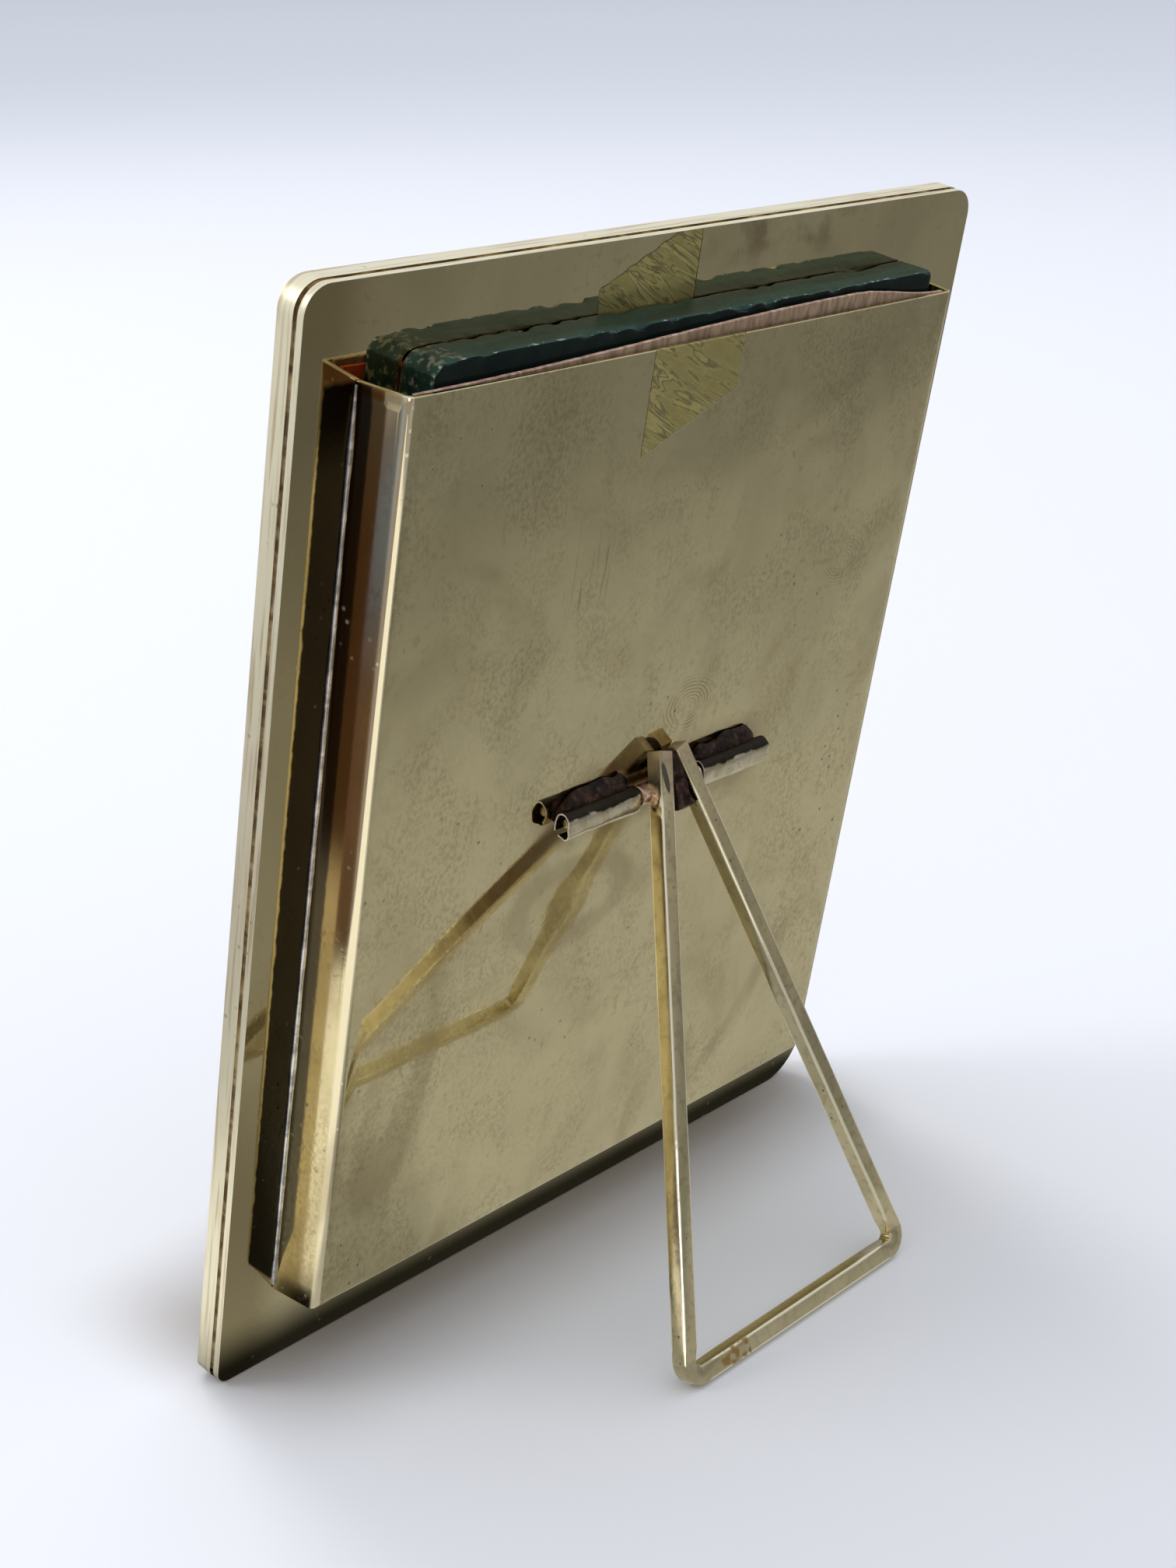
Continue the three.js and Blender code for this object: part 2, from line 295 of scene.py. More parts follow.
# Brass sheet or bar, with cloudy handling marks, fine scratches and specks.
def brassSheet(name, look):
    material, s = newSheet(name)
    at = s.placeOn(look["stands"])
    x, y, z = s.split(at)
    cloud = s.noise(at, look["cloudScale"], 4, 0.6)
    grain = s.noise(at, 1400, 3)
    along = s.placeOn(look["stands"], look["scratchStretch"])
    scratch = s.noise(along, 1, 3, 0.3)
    scratched = s.step(scratch, 0.63, 0.72) * s.step(s.noise(at, 210, 2), 0.52, 0.64)
    pitted = s.step(s.noise(at, 1100, 5), 0.56, 0.68) * s.step(s.noise(at, 120, 4), 0.42, 0.66)
    dots = s.step(s.cells(at, 620), 0.17, 0.05) * s.step(s.noise(at, 95, 2), 0.5, 0.64)
    dull = s.step(cloud, 0.36, 0.68) * look["dulling"]
    colour = s.mix(dull, look["light"], look["dull"])
    colour = s.mix(s.step(grain, 0.35, 0.7) * 0.16, colour, look["dull"])
    colour = s.mix(scratched * 0.25, colour, brassTone["brown"])
    colour = s.mix(pitted * 0.22, colour, brassTone["brown"])
    colour = s.mix(dots * 0.8, colour, brassTone["black"])
    rough = look["rough"] + dull * 0.025 + scratched * 0.1 + grain * 0.02 + dots * 0.3
    rough = rough + pitted * 0.12
    waves = s.noise(at, look["waveScale"], 1)
    ripple = waves * look["waveHeight"] + grain * 0.0000008 - pitted * 0.000002
    metal = 1 - dots * 0.6
    if look.get("marks"):
        colour, rough, metal, ripple = look["marks"](s, at, x, z, colour, rough, metal, ripple)
    sockets = {
        "Base Color": colour,
        "Roughness": rough,
        "Metallic": metal,
        "Normal": s.bump(ripple, 1.0),
    }
    s.shader(sockets)
    return material


# The mark functions take a finish's colour, roughness, metalness and height, and return them changed.
# Sticky residue that a strip of tape left behind.
def residue(s, at, mask, colour, rough, metal, ripple):
    streak = s.node(
        "ShaderNodeMapping", {"vector_type": "POINT"}, {"Vector": at, "Rotation": (0, 0.5, 0)}
    )
    streak = s.node(
        "ShaderNodeVectorMath", {"operation": "MULTIPLY"}, {0: streak, 1: (110, 110, 820)}
    )
    fibres = s.noise(streak, 1, 3, 0.9, 0.55)
    crumbs = s.step(s.noise(at, 900, 4), 0.55, 0.7)
    lines = s.band(fibres, 0.48, 0.525, 0.012) + s.band(fibres, 0.60, 0.64, 0.012)
    tone = s.mix(s.step(fibres, 0.36, 0.56), brassTone["residue"], brassTone["residuePale"])
    tone = s.mix(lines * 0.85, tone, brassTone["residueDark"])
    edge = mask * (1 - mask) * 4
    cover = mask * (0.84 + 0.16 * crumbs)
    colour = s.mix(cover, colour, tone)
    colour = s.mix(edge * 0.9, colour, brassTone["residueDark"])
    rough = rough + cover * (0.2 + crumbs * 0.2)
    metal = metal * (1 - cover * 0.45)
    ripple = ripple + mask * (fibres * 0.00003 + 0.00003)
    return colour, rough, metal, ripple


# Small bright flecks in the painted dark reflection beside the wall.
def dotsOn(s, at):
    return s.step(s.cells(at, 900), 0.2, 0.08) * s.step(s.noise(at, 160, 2), 0.55, 0.65)


# A point's place on a plate in millimetres, shaken a little so that no edge looks ruled.
def shakenPlace(s, at, x, z):
    shake = (s.noise(at, 700, 3) - 0.5) * 0.5
    return x * 1000 + shake, z * 1000 + shake


# Marks on the back sheet, in millimetres.
sheetMarks = {
    "tapeLeft": 10.7, "tapeRight": -2.0, "tapeFoot": 97.2, "cutFrom": 100.9, "cutSlope": 0.43,
    "sootRight": -24, "sootLeft": -3, "sootFoot": 99.5, "sootHead": 104,
    "wallBase": 38.1, "reflectionWidth": 3.2, "reflectionFoot": 9.6, "reflectionHead": 97.2,
}


def marksOnSheet(s, at, x, z, colour, rough, metal, ripple):
    look = sheetMarks
    left, height = shakenPlace(s, at, x, z)
    patch = s.band(left, look["tapeRight"], look["tapeLeft"], 0.08)
    slant = look["cutFrom"] + (look["tapeLeft"] - left) * look["cutSlope"]
    patch = patch * s.step(height, look["tapeFoot"] - 0.5, look["tapeFoot"] + 0.3)
    patch = patch * s.step(slant - height, -0.1, 0.15)
    colour, rough, metal, ripple = residue(s, at, patch, colour, rough, metal, ripple)
    # Soot under the head edge, painted shade along the left margin, and a darker patch in its top
    # corner.
    soot = s.band(left, look["sootRight"], look["sootLeft"], 5)
    soot = soot * s.step(height, look["sootFoot"], look["sootHead"])
    soot = soot * s.step(s.noise(at, 260, 4), 0.45, 0.7)
    colour = s.mix(soot * 0.6, colour, brassTone["brown"])
    rough = rough + soot * 0.2
    # Painted shade: the left margin is darkened, for the shaded table it mirrors.
    colour = s.mix(s.step(left, 36, 41) * 0.68, colour, brassTone["marginPaintedShade"])
    # The top corner of the left margin is made darker.
    headCorner = s.step(left, 20, 40) * s.step(height, 97, 101)
    colour = s.mix(headCorner * 0.35, colour, brassTone["headCornerDark"])
    # Painted reflection: a dark strip on the sheet beside the soldered left wall, where the wall is
    # mirrored, its foot slanted like the wall's lower end.
    out = left - look["wallBase"]
    low = height - look["reflectionFoot"] - out * 1.1
    paintedWallReflection = s.band(out, -1.5, look["reflectionWidth"], 0.12) * s.step(low, -0.2, 0.2)
    paintedWallReflection = paintedWallReflection * s.step(height, look["reflectionHead"], look["reflectionHead"] - 0.6)
    colour = s.mix(paintedWallReflection * 0.98, colour, brassTone["paintedWallReflection"])
    colour = s.mix(paintedWallReflection * dotsOn(s, at) * 0.5, colour, brassTone["paintedReflectionFleck"])
    return colour, rough, metal, ripple


# Marks on the panel, in millimetres.
panelMarks = {
    "tapeLeft": 8.65, "tapeRight": -3.4, "tapeFootLeft": 87.5, "tapeSlant": 0.373,
    "whorl": (-4.3, 60.5), "whorlWidth": 4.5,
    "secondWhorl": (-25.5, 71), "secondWhorlWidth": 4.0,
    "ridgeStep": 0.48,
    "haloMiddle": -0.8, "haloHeight": 53.5, "haloReach": (18.5, 12.5),
    "stain": (9.5, 43.5), "stainReach": (7.5, 4.2),
    "scratches": (13, 78), "scratchReach": (4.5, 5),
    "foldFrom": 36.7, "foldTo": 37.3, "wallFrom": 37.38,
}


# How far a point is from a mark's centre, in shares of the mark's half width and half height.
def farFrom(left, height, centre, reach):
    across = (left - centre[0]) / reach[0]
    high = (height - centre[1]) / reach[1]
    return (across * across + high * high) ** 0.5


# A fingerprint's ridges.
def whorl(s, at, x, z, centre, width):
    far = farFrom(x * 1000, z * 1000, centre, (width, width * 0.72))
    wobble = s.noise(at, 220, 2)
    turns = (far + wobble * 0.32) * width / panelMarks["ridgeStep"]
    ridges = s.sum("SINE", turns * math.tau)
    patchy = s.step(s.noise(at, 380, 3), 0.42, 0.6)
    return s.step(ridges, 0.0, 0.8) * s.step(far + wobble * 0.5, 1.35, 0.9) * patchy


def marksOnPanel(s, at, x, z, colour, rough, metal, ripple):
    look = panelMarks
    left, height = shakenPlace(s, at, x, z)
    foot = look["tapeFootLeft"] + (look["tapeLeft"] - left) * look["tapeSlant"]
    patch = s.band(left, look["tapeRight"], look["tapeLeft"], 0.08) * s.step(height - foot, -0.1, 0.12)
    colour, rough, metal, ripple = residue(s, at, patch, colour, rough, metal, ripple)
    prints = whorl(s, at, x, z, look["whorl"], look["whorlWidth"])
    prints = prints + whorl(s, at, x, z, look["secondWhorl"], look["secondWhorlWidth"]) * 0.7
    colour = s.mix(prints * 0.45, colour, brassTone["brown"])
    rough = rough + prints * 0.16
    # Tarnish that the soldering left around the hinge.
    across = s.step(abs(left - look["haloMiddle"]), *look["haloReach"])
    above = (height - look["haloHeight"]) / (s.noise(at, 180, 3) * 5 + 0.6)
    halo = across * s.step(abs(above + 0.1), 1.6, 0.35)
    colour = s.mix(halo * 0.55, colour, brassTone["brown"])
    rough = rough + halo * 0.12
    # A darker rubbed ring under the left knuckle.
    far = farFrom(left, height, look["stain"], look["stainReach"])
    far = far + (s.noise(at, 150, 3) - 0.5) * 0.9
    ring = s.step(abs(far - 0.95), 0.4, 0.1)
    colour = s.mix(ring * 0.25, colour, brassTone["brown"])
    # Upright scratches high on the panel.
    area = s.step(farFrom(left, height, look["scratches"], look["scratchReach"]), 1.2, 0.4)
    lines = s.step(s.noise(s.placeOn(onPlate, (2600, 1, 110)), 1, 3), 0.56, 0.66) * area
    colour = s.mix(lines * 0.4, colour, brassTone["brown"])
    # Fine mottling in clouds, wider patches, and painted shade in streaks across the lower half.
    fine = s.noise(s.placeOn(onPlate, (2600, 2600, 2000)), 1, 6, 0.3)
    coarse = s.noise(s.placeOn(onPlate, (130, 130, 95)), 1, 5, 0.8)
    mottle = s.step(fine, 0.38, 0.70) * s.step(coarse, 0.36, 0.68)
    colour = s.mix(mottle * 0.45, colour, brassTone["mottle"])
    patches = s.step(s.noise(at, 75, 5, 1.2), 0.50, 0.72)
    colour = s.mix(patches * 0.30, colour, brassTone["patch"])
    rough = rough + mottle * 0.05
    # The left wall is duller than the panel, the fold between them carries a painted highlight, and the
    # wall's upper part a painted brown reflection.
    wall = s.step(x * 1000, look["wallFrom"], look["wallFrom"] + 0.12)
    rough = rough + wall * 0.05
    # Painted highlight: a pale cream band along the fold, less metallic.
    fold = s.band(x * 1000, look["foldFrom"], look["foldTo"], 0.06)
    colour = s.mix(fold * 0.9, colour, brassTone["foldPaintedHighlight"])
    metal = metal - fold * 0.25
    # Painted reflection: the upper part of the wall is tinted brown.
    colour = s.mix(wall * s.step(height, 30, 60) * 0.35, colour, brassTone["wallPaintedReflection"])
    # Painted shade: dark streaks across the lower half of the panel, for the shadows it mirrors.
    shadeStreaks = s.noise(s.placeOn(onPlate, (60, 60, 25)), 1, 4, 1.5)
    paintedShadeStreaks = s.step(shadeStreaks, 0.52, 0.70) * s.step(height, 60, 20)
    colour = s.mix(paintedShadeStreaks * 0.5, colour, brassTone["shadeStreaks"])
    rough = rough + paintedShadeStreaks * 0.06 + lines * 0.15
    return colour, rough, metal, ripple


sheetLook = {
    "stands": onPlate, "light": brassTone["light"], "dull": brassTone["dull"], "dulling": 0.85,
    "rough": 0.012, "cloudScale": 65, "waveScale": 55, "waveHeight": 0.00003,
    "scratchStretch": (3200, 300, 300),
}
backSheetBrass = brassSheet("back sheet brass", {**sheetLook, "marks": marksOnSheet})
panelBrass = brassSheet("panel brass", {**sheetLook, "waveHeight": 0.00004, "marks": marksOnPanel})


# The cut edges of the plates: paler, partly polish and partly a painted highlight, with lines along the
# cut.
def plateBrass():
    material, s = newSheet("plate edge brass")
    at = s.placeOn(onPlate)
    lengthwise = s.noise(s.placeOn(onPlate, (90, 2600, 90)), 1, 3, 0.2)
    cloud = s.noise(at, 90, 4, 0.8)
    pits = s.step(s.cells(at, 640), 0.2, 0.06) * s.step(s.noise(at, 120, 3), 0.5, 0.62)
    # Both tones are paler than the sheet's, partly a painted highlight.
    tone = s.mix(s.step(lengthwise, 0.30, 0.52), brassTone["edgeDark"], brassTone["edgeLight"])
    tone = s.mix(s.step(cloud, 0.55, 0.8) * 0.35, tone, brassTone["edgeCloud"])
    tone = s.mix(pits * 0.7, tone, brassTone["brown"])
    height = lengthwise * 0.00004 + s.noise(at, 900, 3) * 0.000012
    s.shader(
        {
            "Base Color": tone,
            "Roughness": 0.34 + cloud * 0.12 + pits * 0.2,
            "Metallic": 0.62 - pits * 0.3,
            "Normal": s.bump(height, 0.6),
        }
    )
    return material


plateEdgeBrass = plateBrass()
frontPlateBrass = brassSheet("front plate brass", {**sheetLook, "dulling": 0.5, "waveHeight": 0.00002})


# The strut's bar: drawn brass, with a spot of flux on the tops of the legs and a residue mark.
def barBrass():
    material, s = newSheet("bar brass")
    at = s.placeOn(onStrut)
    x, y, z = s.split(at)
    cloud = s.noise(at, 120, 4, 0.6)
    grain = s.noise(at, 1500, 3)
    drawn = s.noise(s.placeOn(onStrut, (900, 900, 120)), 1, 3)
    high = z * 1000 + (cloud - 0.5) * 5
    across = x * 1000
    flux = s.step(high, -1.2, 3.2)
    spotX = (across - 2.05) / 0.36
    spotZ = (z * 1000 - 1.1) / 1.5
    oval = s.step(spotX * spotX + spotZ * spotZ, 1.3, 0.7)
    dots = s.step(s.cells(at, 700), 0.16, 0.05) * s.step(s.noise(at, 150, 2), 0.5, 0.62)
    speckle = s.step(s.noise(at, 1300, 5), 0.5, 0.66)
    tone = s.mix(s.step(cloud, 0.38, 0.7) * 0.8, brassTone["barLight"], brassTone["barDull"])
    tone = s.mix(speckle * 0.35, tone, brassTone["barSpeckle"])
    tone = s.mix(s.step(drawn, 0.55, 0.72) * 0.3, tone, brassTone["barDrawn"])
    tone = s.mix(flux * 0.6, tone, brassTone["brown"])
    tone = s.mix(oval * 0.85, tone, brassTone["barSpot"])
    tone = s.mix(dots * 0.7, tone, brassTone["black"])
    # The mark low on the foot bar, where something sticky has dried.
    foot = s.band(across + (grain - 0.5) * 0.4, 8.2, 12.4, 0.1)
    foot = foot * s.step(high, -50.6, -51.1) * s.step(y * 1000, 1.9, 2.1)
    crust = foot * s.step(s.noise(at, 1300, 4), 0.42, 0.56)
    # The sides of the legs are painted darker than their backs, as shade, and the corners carry painted
    # highlights.
    legAxis = 1.15 + (3.49 - z * 1000) * 0.2763
    off = (abs(across) - legAxis) * 0.964
    low = abs(z * 1000 + 52.78)
    inFoot = s.step(z * 1000, -50.9, -51.1)
    out = y * 1000 - 1.28
    leftLeg = s.step(across, 0.0, 0.4) * s.step(off, 0.58, 0.66)
    rightLeg = s.step(across, 0.0, -0.4) * s.step(off, -0.58, -0.66) * 0.6
    # Painted shade: the legs' sides are darkened low down, the left more than the right.
    shaded = (leftLeg + rightLeg) * s.step(z * 1000, -50, -33)
    tone = s.mix(shaded * 0.35, tone, brassTone["barShade"])
    # Painted highlight: bright lines along the bar's corners, on the legs and along the foot.
    section = abs(off) + (low - abs(off)) * inFoot
    straight = s.step(z * 1000, -50.2, -49.6) + inFoot * s.step(abs(across), 14.6, 14.0)
    paintedCornerHighlight = s.step(section + abs(out), 1.535, 1.585) * s.step(z * 1000, 0.2, -1.5) * straight
    # Painted shade: the foot bar is darker, so that its top mirrors less of the bright sky.
    tone = s.mix(inFoot * 0.45, tone, brassTone["barFoot"])
    tone = s.mix(paintedCornerHighlight * 0.9, tone, brassTone["barCornerHighlight"])
    tone = s.mix(crust * 0.9, tone, brassTone["barCrust"])
    s.shader(
        {
            "Base Color": tone,
            "Roughness": 0.10 + cloud * 0.10 + flux * 0.22 + crust * 0.3 + dots * 0.2 - paintedCornerHighlight * 0.08,
            "Metallic": 1 - flux * 0.3 - crust * 0.4 - paintedCornerHighlight * 0.3,
            "Normal": s.bump(cloud * 0.00006 + grain * 0.000004 + crust * 0.00004, 0.8),
        }
    )
    return material


strutBrass = barBrass()


# Knuckles: bright brass below, brown with flux above.
def knuckleFinish():
    material, s = newSheet("knuckle brass")
    at = s.placeOn(onHinge)
    x, y, z = s.split(at)
    cloud = s.noise(at, 350, 4, 0.8)
    level = z * 1000 + (cloud - 0.5) * 1.3 - s.step(abs(x * 1000), 8, 4) * 0.25
    flux = s.step(level, 0.5, 0.75)
    scorch = s.step(s.noise(at, 900, 4, 1.0), 0.6, 0.72) * 0.7
    drips = s.step(s.noise(s.placeOn(onHinge, (1500, 300, 300)), 1, 3), 0.6, 0.7)
    tone = s.mix(s.step(cloud, 0.4, 0.7), brassTone["knuckleLight"], brassTone["knuckleDull"])
    tone = s.mix(scorch, tone, brassTone["knuckleScorch"])
    tone = s.mix(drips * 0.3, tone, brassTone["knuckleDrips"])
    tone = s.mix(flux * 0.97, tone, brassTone["knuckleFlux"])
    s.shader(
        {
            "Base Color": tone,
            "Roughness": 0.16 + cloud * 0.12 + flux * 0.2 + scorch * 0.1,
            "Metallic": 1.0,
            "Normal": s.bump(cloud * 0.00005, 0.8),
        }
    )
    return material


knuckleBrass = knuckleFinish()


# Solder: bright and pitted, or dark with flux.
def solderFinish(name, look):
    material, s = newSheet(name)
    at = s.place()
    lumps = s.noise(at, look["lumps"], 4, 0.8)
    spots = s.step(s.noise(at, 1500, 4), 0.52, 0.66)
    tone = s.mix(s.step(lumps, 0.38, 0.66), look["low"], look["high"])
    tone = s.mix(spots * look["spots"], tone, look["spot"])
    s.shader(
        {
            "Base Color": tone,
            "Roughness": look["rough"] + lumps * 0.25,
            "Metallic": look["metal"] - spots * look["metal"] * 0.2,
            "Specular IOR Level": look["shine"],
            "Normal": s.bump(lumps * 0.00012 + spots * 0.00001, 0.9),
        }
    )
    return material


brightSolder = solderFinish(
    "bright solder",
    {"lumps": 420, "low": (0.42, 0.42, 0.44), "high": (0.86, 0.86, 0.88), "spots": 0.5,
     "spot": (0.25, 0.2, 0.16), "rough": 0.22, "metal": 0.95, "shine": 0.5},
)
darkSolder = solderFinish(
    "fluxed solder",
    {"lumps": 700, "low": (0.005, 0.003, 0.002), "high": (0.030, 0.014, 0.008), "spots": 0.3,
     "spot": (0.14, 0.06, 0.035), "rough": 0.12, "metal": 0.0, "shine": 0.12},
)
seamMetal = solderFinish(
    "seam solder",
    {"lumps": 500, "low": (0.16, 0.11, 0.07), "high": (0.62, 0.52, 0.38), "spots": 0.4,
     "spot": (0.3, 0.2, 0.15), "rough": 0.4, "metal": 0.4, "shine": 0.5},
)
copperRing = solderFinish(
    "ring brass",
    {"lumps": 900, "low": (0.62, 0.40, 0.33), "high": (0.93, 0.76, 0.68), "spots": 0.5,
     "spot": (0.25, 0.12, 0.09), "rough": 0.18, "metal": 1.0, "shine": 0.5},
)
# Painted highlight: the knuckles' open ends are bright and pale, where light catches a rim.
paintedRimHighlight = solderFinish(
    "rim painted highlight",
    {"lumps": 900, "low": (0.80, 0.74, 0.58), "high": (0.98, 0.95, 0.85), "spots": 0.3,
     "spot": (0.4, 0.3, 0.2), "rough": 0.25, "metal": 0.5, "shine": 0.5},
)


glassTone = {
    "shadeLow": (0.004, 0.006, 0.006), "shadeHigh": (0.010, 0.020, 0.016),
    "pane": (0.80, 0.92, 0.87),
    "edgeLow": (0.005, 0.024, 0.016), "edgeHigh": (0.012, 0.050, 0.034),
    "nearFront": (0.035, 0.036, 0.014), "nearBack": (0.015, 0.075, 0.062),
    "crumbs": (0.20, 0.19, 0.12), "chips": (0.45, 0.52, 0.50),
}


# The pane, its green edges, and the strip of its back that the pocket shades.
def glassFinishes():
    dark, s = newSheet("glass in shade")
    s.shader(
        {
            "Base Color": s.mix(
                s.noise(s.placeOn(onPlate), 400, 3), glassTone["shadeLow"], glassTone["shadeHigh"]
            ),
            "Roughness": 0.12,
            "Specular IOR Level": 0.08,
        }
    )
    pane, s = newSheet("glass pane")
    at = s.placeOn(onPlate)
    dust = s.step(s.noise(at, 260, 4), 0.55, 0.8)
    s.shader(
        {
            "Base Color": glassTone["pane"],
            "Roughness": 0.02 + dust * 0.12,
            "Transmission Weight": 1.0,
            "IOR": 1.5,
        }
    )
    edge, s = newSheet("glass edge")
    at = s.placeOn(onPlate)
    x, y, z = s.split(at)
    along = s.noise(s.placeOn(onPlate, (70, 600, 600)), 1, 3)
    bits = s.noise(at, 1300, 5, 0.5)
    nearBack = s.step(y * 1000 + (s.noise(at, 800, 3) - 0.5) * 1.1, 3.25, 3.75)
    nearFront = s.step(y * 1000 - (s.noise(at, 500, 3) - 0.5) * 0.5, 0.75, 0.4)
    corner = s.step(x * 1000 + (bits - 0.5) * 3, 29.6, 31.2)
    chips = s.step(bits, 0.58, 0.65) * s.step(nearBack, 0.4, 0.9)
    crumbs = s.step(bits, 0.5, 0.62) * corner
    tone = s.mix(s.step(along, 0.35, 0.7), glassTone["edgeLow"], glassTone["edgeHigh"])
    tone = s.mix(nearFront * 0.7, tone, glassTone["nearFront"])
    tone = s.mix(nearBack * 0.4, tone, glassTone["nearBack"])
    tone = s.mix(crumbs * 0.8, tone, glassTone["crumbs"])
    tone = s.mix(chips * 0.7, tone, glassTone["chips"])
    s.shader(
        {
            "Base Color": tone,
            "Roughness": 0.30 + bits * 0.25,
            "IOR": 1.5,
            "Specular IOR Level": 0.3,
            "Normal": s.bump(bits * 0.00009, 0.7),
        }
    )
    return pane, edge, dark


glassPaneFinish, glassEdgeFinish, glassShade = glassFinishes()


def paperFinish(name, look):
    material, s = newSheet(name)
    at = s.placeOn(onPlate)
    fibres = s.noise(s.placeOn(onPlate, (1700, 1700, 500)), 1, 5)
    blotch = s.noise(at, 80, 4, 0.5)
    tone = s.mix(s.step(fibres, 0.3, 0.7), look["dark"], look["light"])
    tone = s.mix(s.step(blotch, 0.45, 0.75) * 0.5, tone, look["worn"])
    s.shader(
        {
            "Base Color": tone,
            "Roughness": look["rough"] + fibres * 0.1,
            "Specular IOR Level": 0.3,
            "Normal": s.bump(fibres * 0.00003, 0.6),
        }
    )
    return material


redPaper = paperFinish(
    "red paper",
    {"dark": (0.55, 0.065, 0.012), "light": (0.85, 0.15, 0.03), "worn": (0.75, 0.22, 0.05),
     "rough": 0.55},
)
brownCard = paperFinish(
    "brown card",
    {"dark": (0.17, 0.11, 0.065), "light": (0.34, 0.24, 0.15), "worn": (0.25, 0.15, 0.10),
     "rough": 0.8},
)
cardEdge = paperFinish(
    "card edge",
    {"dark": (0.34, 0.20, 0.14), "light": (0.66, 0.46, 0.36), "worn": (0.45, 0.26, 0.19),
     "rough": 0.7},
)
print("finishes made")


# Piece helpers


def addPiece(name, bm, stands, finishes, body, nodes, bendAngle=40):
    bmesh.ops.transform(bm, matrix=stands, verts=bm.verts)
    mesh = bpy.data.meshes.new(name)
    bm.to_mesh(mesh)
    bm.free()
    for finish in finishes:
        mesh.materials.append(finish)
    for polygon in mesh.polygons:
        polygon.use_smooth = True
    mesh.set_sharp_from_angle(angle=math.radians(bendAngle))
    piece = bpy.data.objects.new(name, mesh)
    scene.collection.objects.link(piece)
    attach(piece, body)
    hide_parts(*nodes)
    print("piece", name, len(mesh.polygons), "faces")
    return piece


def sharpEdges(bm, angle=60):
    least = math.radians(angle)
    return [e for e in bm.edges if len(e.link_faces) == 2 and e.calc_face_angle(0) > least]


def softenEdges(bm, width, segments=2, angle=60):
    bmesh.ops.bevel(
        bm, geom=sharpEdges(bm, angle), offset=width, offset_type="OFFSET", segments=segments,
        profile=0.5, affect="EDGES", clamp_overlap=True, material=-1,
    )


# A closed line of edges around a rectangle in x and z.
# The radii go left foot, right foot, right head, left head.
def roundedLine(bm, left, right, foot, head, radii, depth=0):
    before = set(bm.edges)
    corners = [
        bm.verts.new((x, depth, z))
        for x, z in ((left, foot), (right, foot), (right, head), (left, head))
    ]
    bm.faces.new(corners)
    for corner, radius in zip(corners, radii):
        bmesh.ops.bevel(
            bm, geom=[corner], offset=radius, offset_type="OFFSET", segments=9,
            profile=0.5, affect="VERTICES", material=-1,
        )
    bmesh.ops.delete(bm, geom=list(bm.faces), context="FACES_ONLY")
    return [edge for edge in bm.edges if edge not in before]


def fillAndThicken(bm, edges, thickness):
    bmesh.ops.triangle_fill(bm, edges=edges, use_beauty=True, use_dissolve=False)
    grown = bmesh.ops.extrude_face_region(bm, geom=list(bm.faces))["geom"]
    moved = [v for v in grown if isinstance(v, bmesh.types.BMVert)]
    bmesh.ops.translate(bm, verts=moved, vec=(0, thickness, 0))
    bmesh.ops.recalc_face_normals(bm, faces=bm.faces)


def sliced(bm, axis, cuts):
    normal = [0, 0, 0]
    normal[axis] = 1
    for cut in cuts:
        point = [0, 0, 0]
        point[axis] = cut
        bmesh.ops.bisect_plane(
            bm, geom=list(bm.verts) + list(bm.edges) + list(bm.faces), dist=1e-7,
            plane_co=point, plane_no=normal,
        )


def smoothed(bm, factor):
    bmesh.ops.smooth_vert(
        bm, verts=bm.verts, factor=factor, use_axis_x=True, use_axis_y=True, use_axis_z=True
    )


def spread(low, high, count):
    return [low + (high - low) * (i + 1) / (count + 1) for i in range(count)]


def lump(point, scale, seed=0):
    return noise.noise(Vector(point) * scale + Vector((seed * 7.3, seed * 3.1, seed * 5.7)))


# Plates

plateSize = {
    "halfWidth": 44, "front": -2.9, "thickness": 1.8, "sheet": 0.7, "seam": 0.4,
    "cornerLeftFoot": 1.4, "cornerRightFoot": 5, "cornerHead": 2.6,
    "border": 15, "sill": 14, "head": 13, "windowCorner": 1.5, "windowStep": 0.6,
    "edgeRound": 0.32, "sheetRound": 0.12, "sheetInset": 0.06,
    "seamInset": 0.34, "seamStep": 0.7, "seamSunk": 0.02, "seamUneven": 0.22, "seamCuts": 70,
}


def plateLines(bm, inset, step, depth):
    p = plateSize
    half = (p["halfWidth"] - inset) * mm
    radii = [p["cornerLeftFoot"], p["cornerRightFoot"], p["cornerHead"], p["cornerHead"]]
    edges = roundedLine(
        bm, half, -half, inset * mm, plateHeight - inset * mm, [r * mm for r in radii], depth
    )
    window = (p["halfWidth"] - p["border"] + step) * mm
    edges += roundedLine(
        bm, window, -window, (p["sill"] - step) * mm, plateHeight - (p["head"] - step) * mm,
        [(p["windowCorner"] + step) * mm] * 4, depth,
    )
    return edges


# Flat faces take the first finish and the cut edges the second.
def edgesApart(bm):
    for face in bm.faces:
        face.material_index = 0 if abs(face.normal.y) > 0.98 else 1


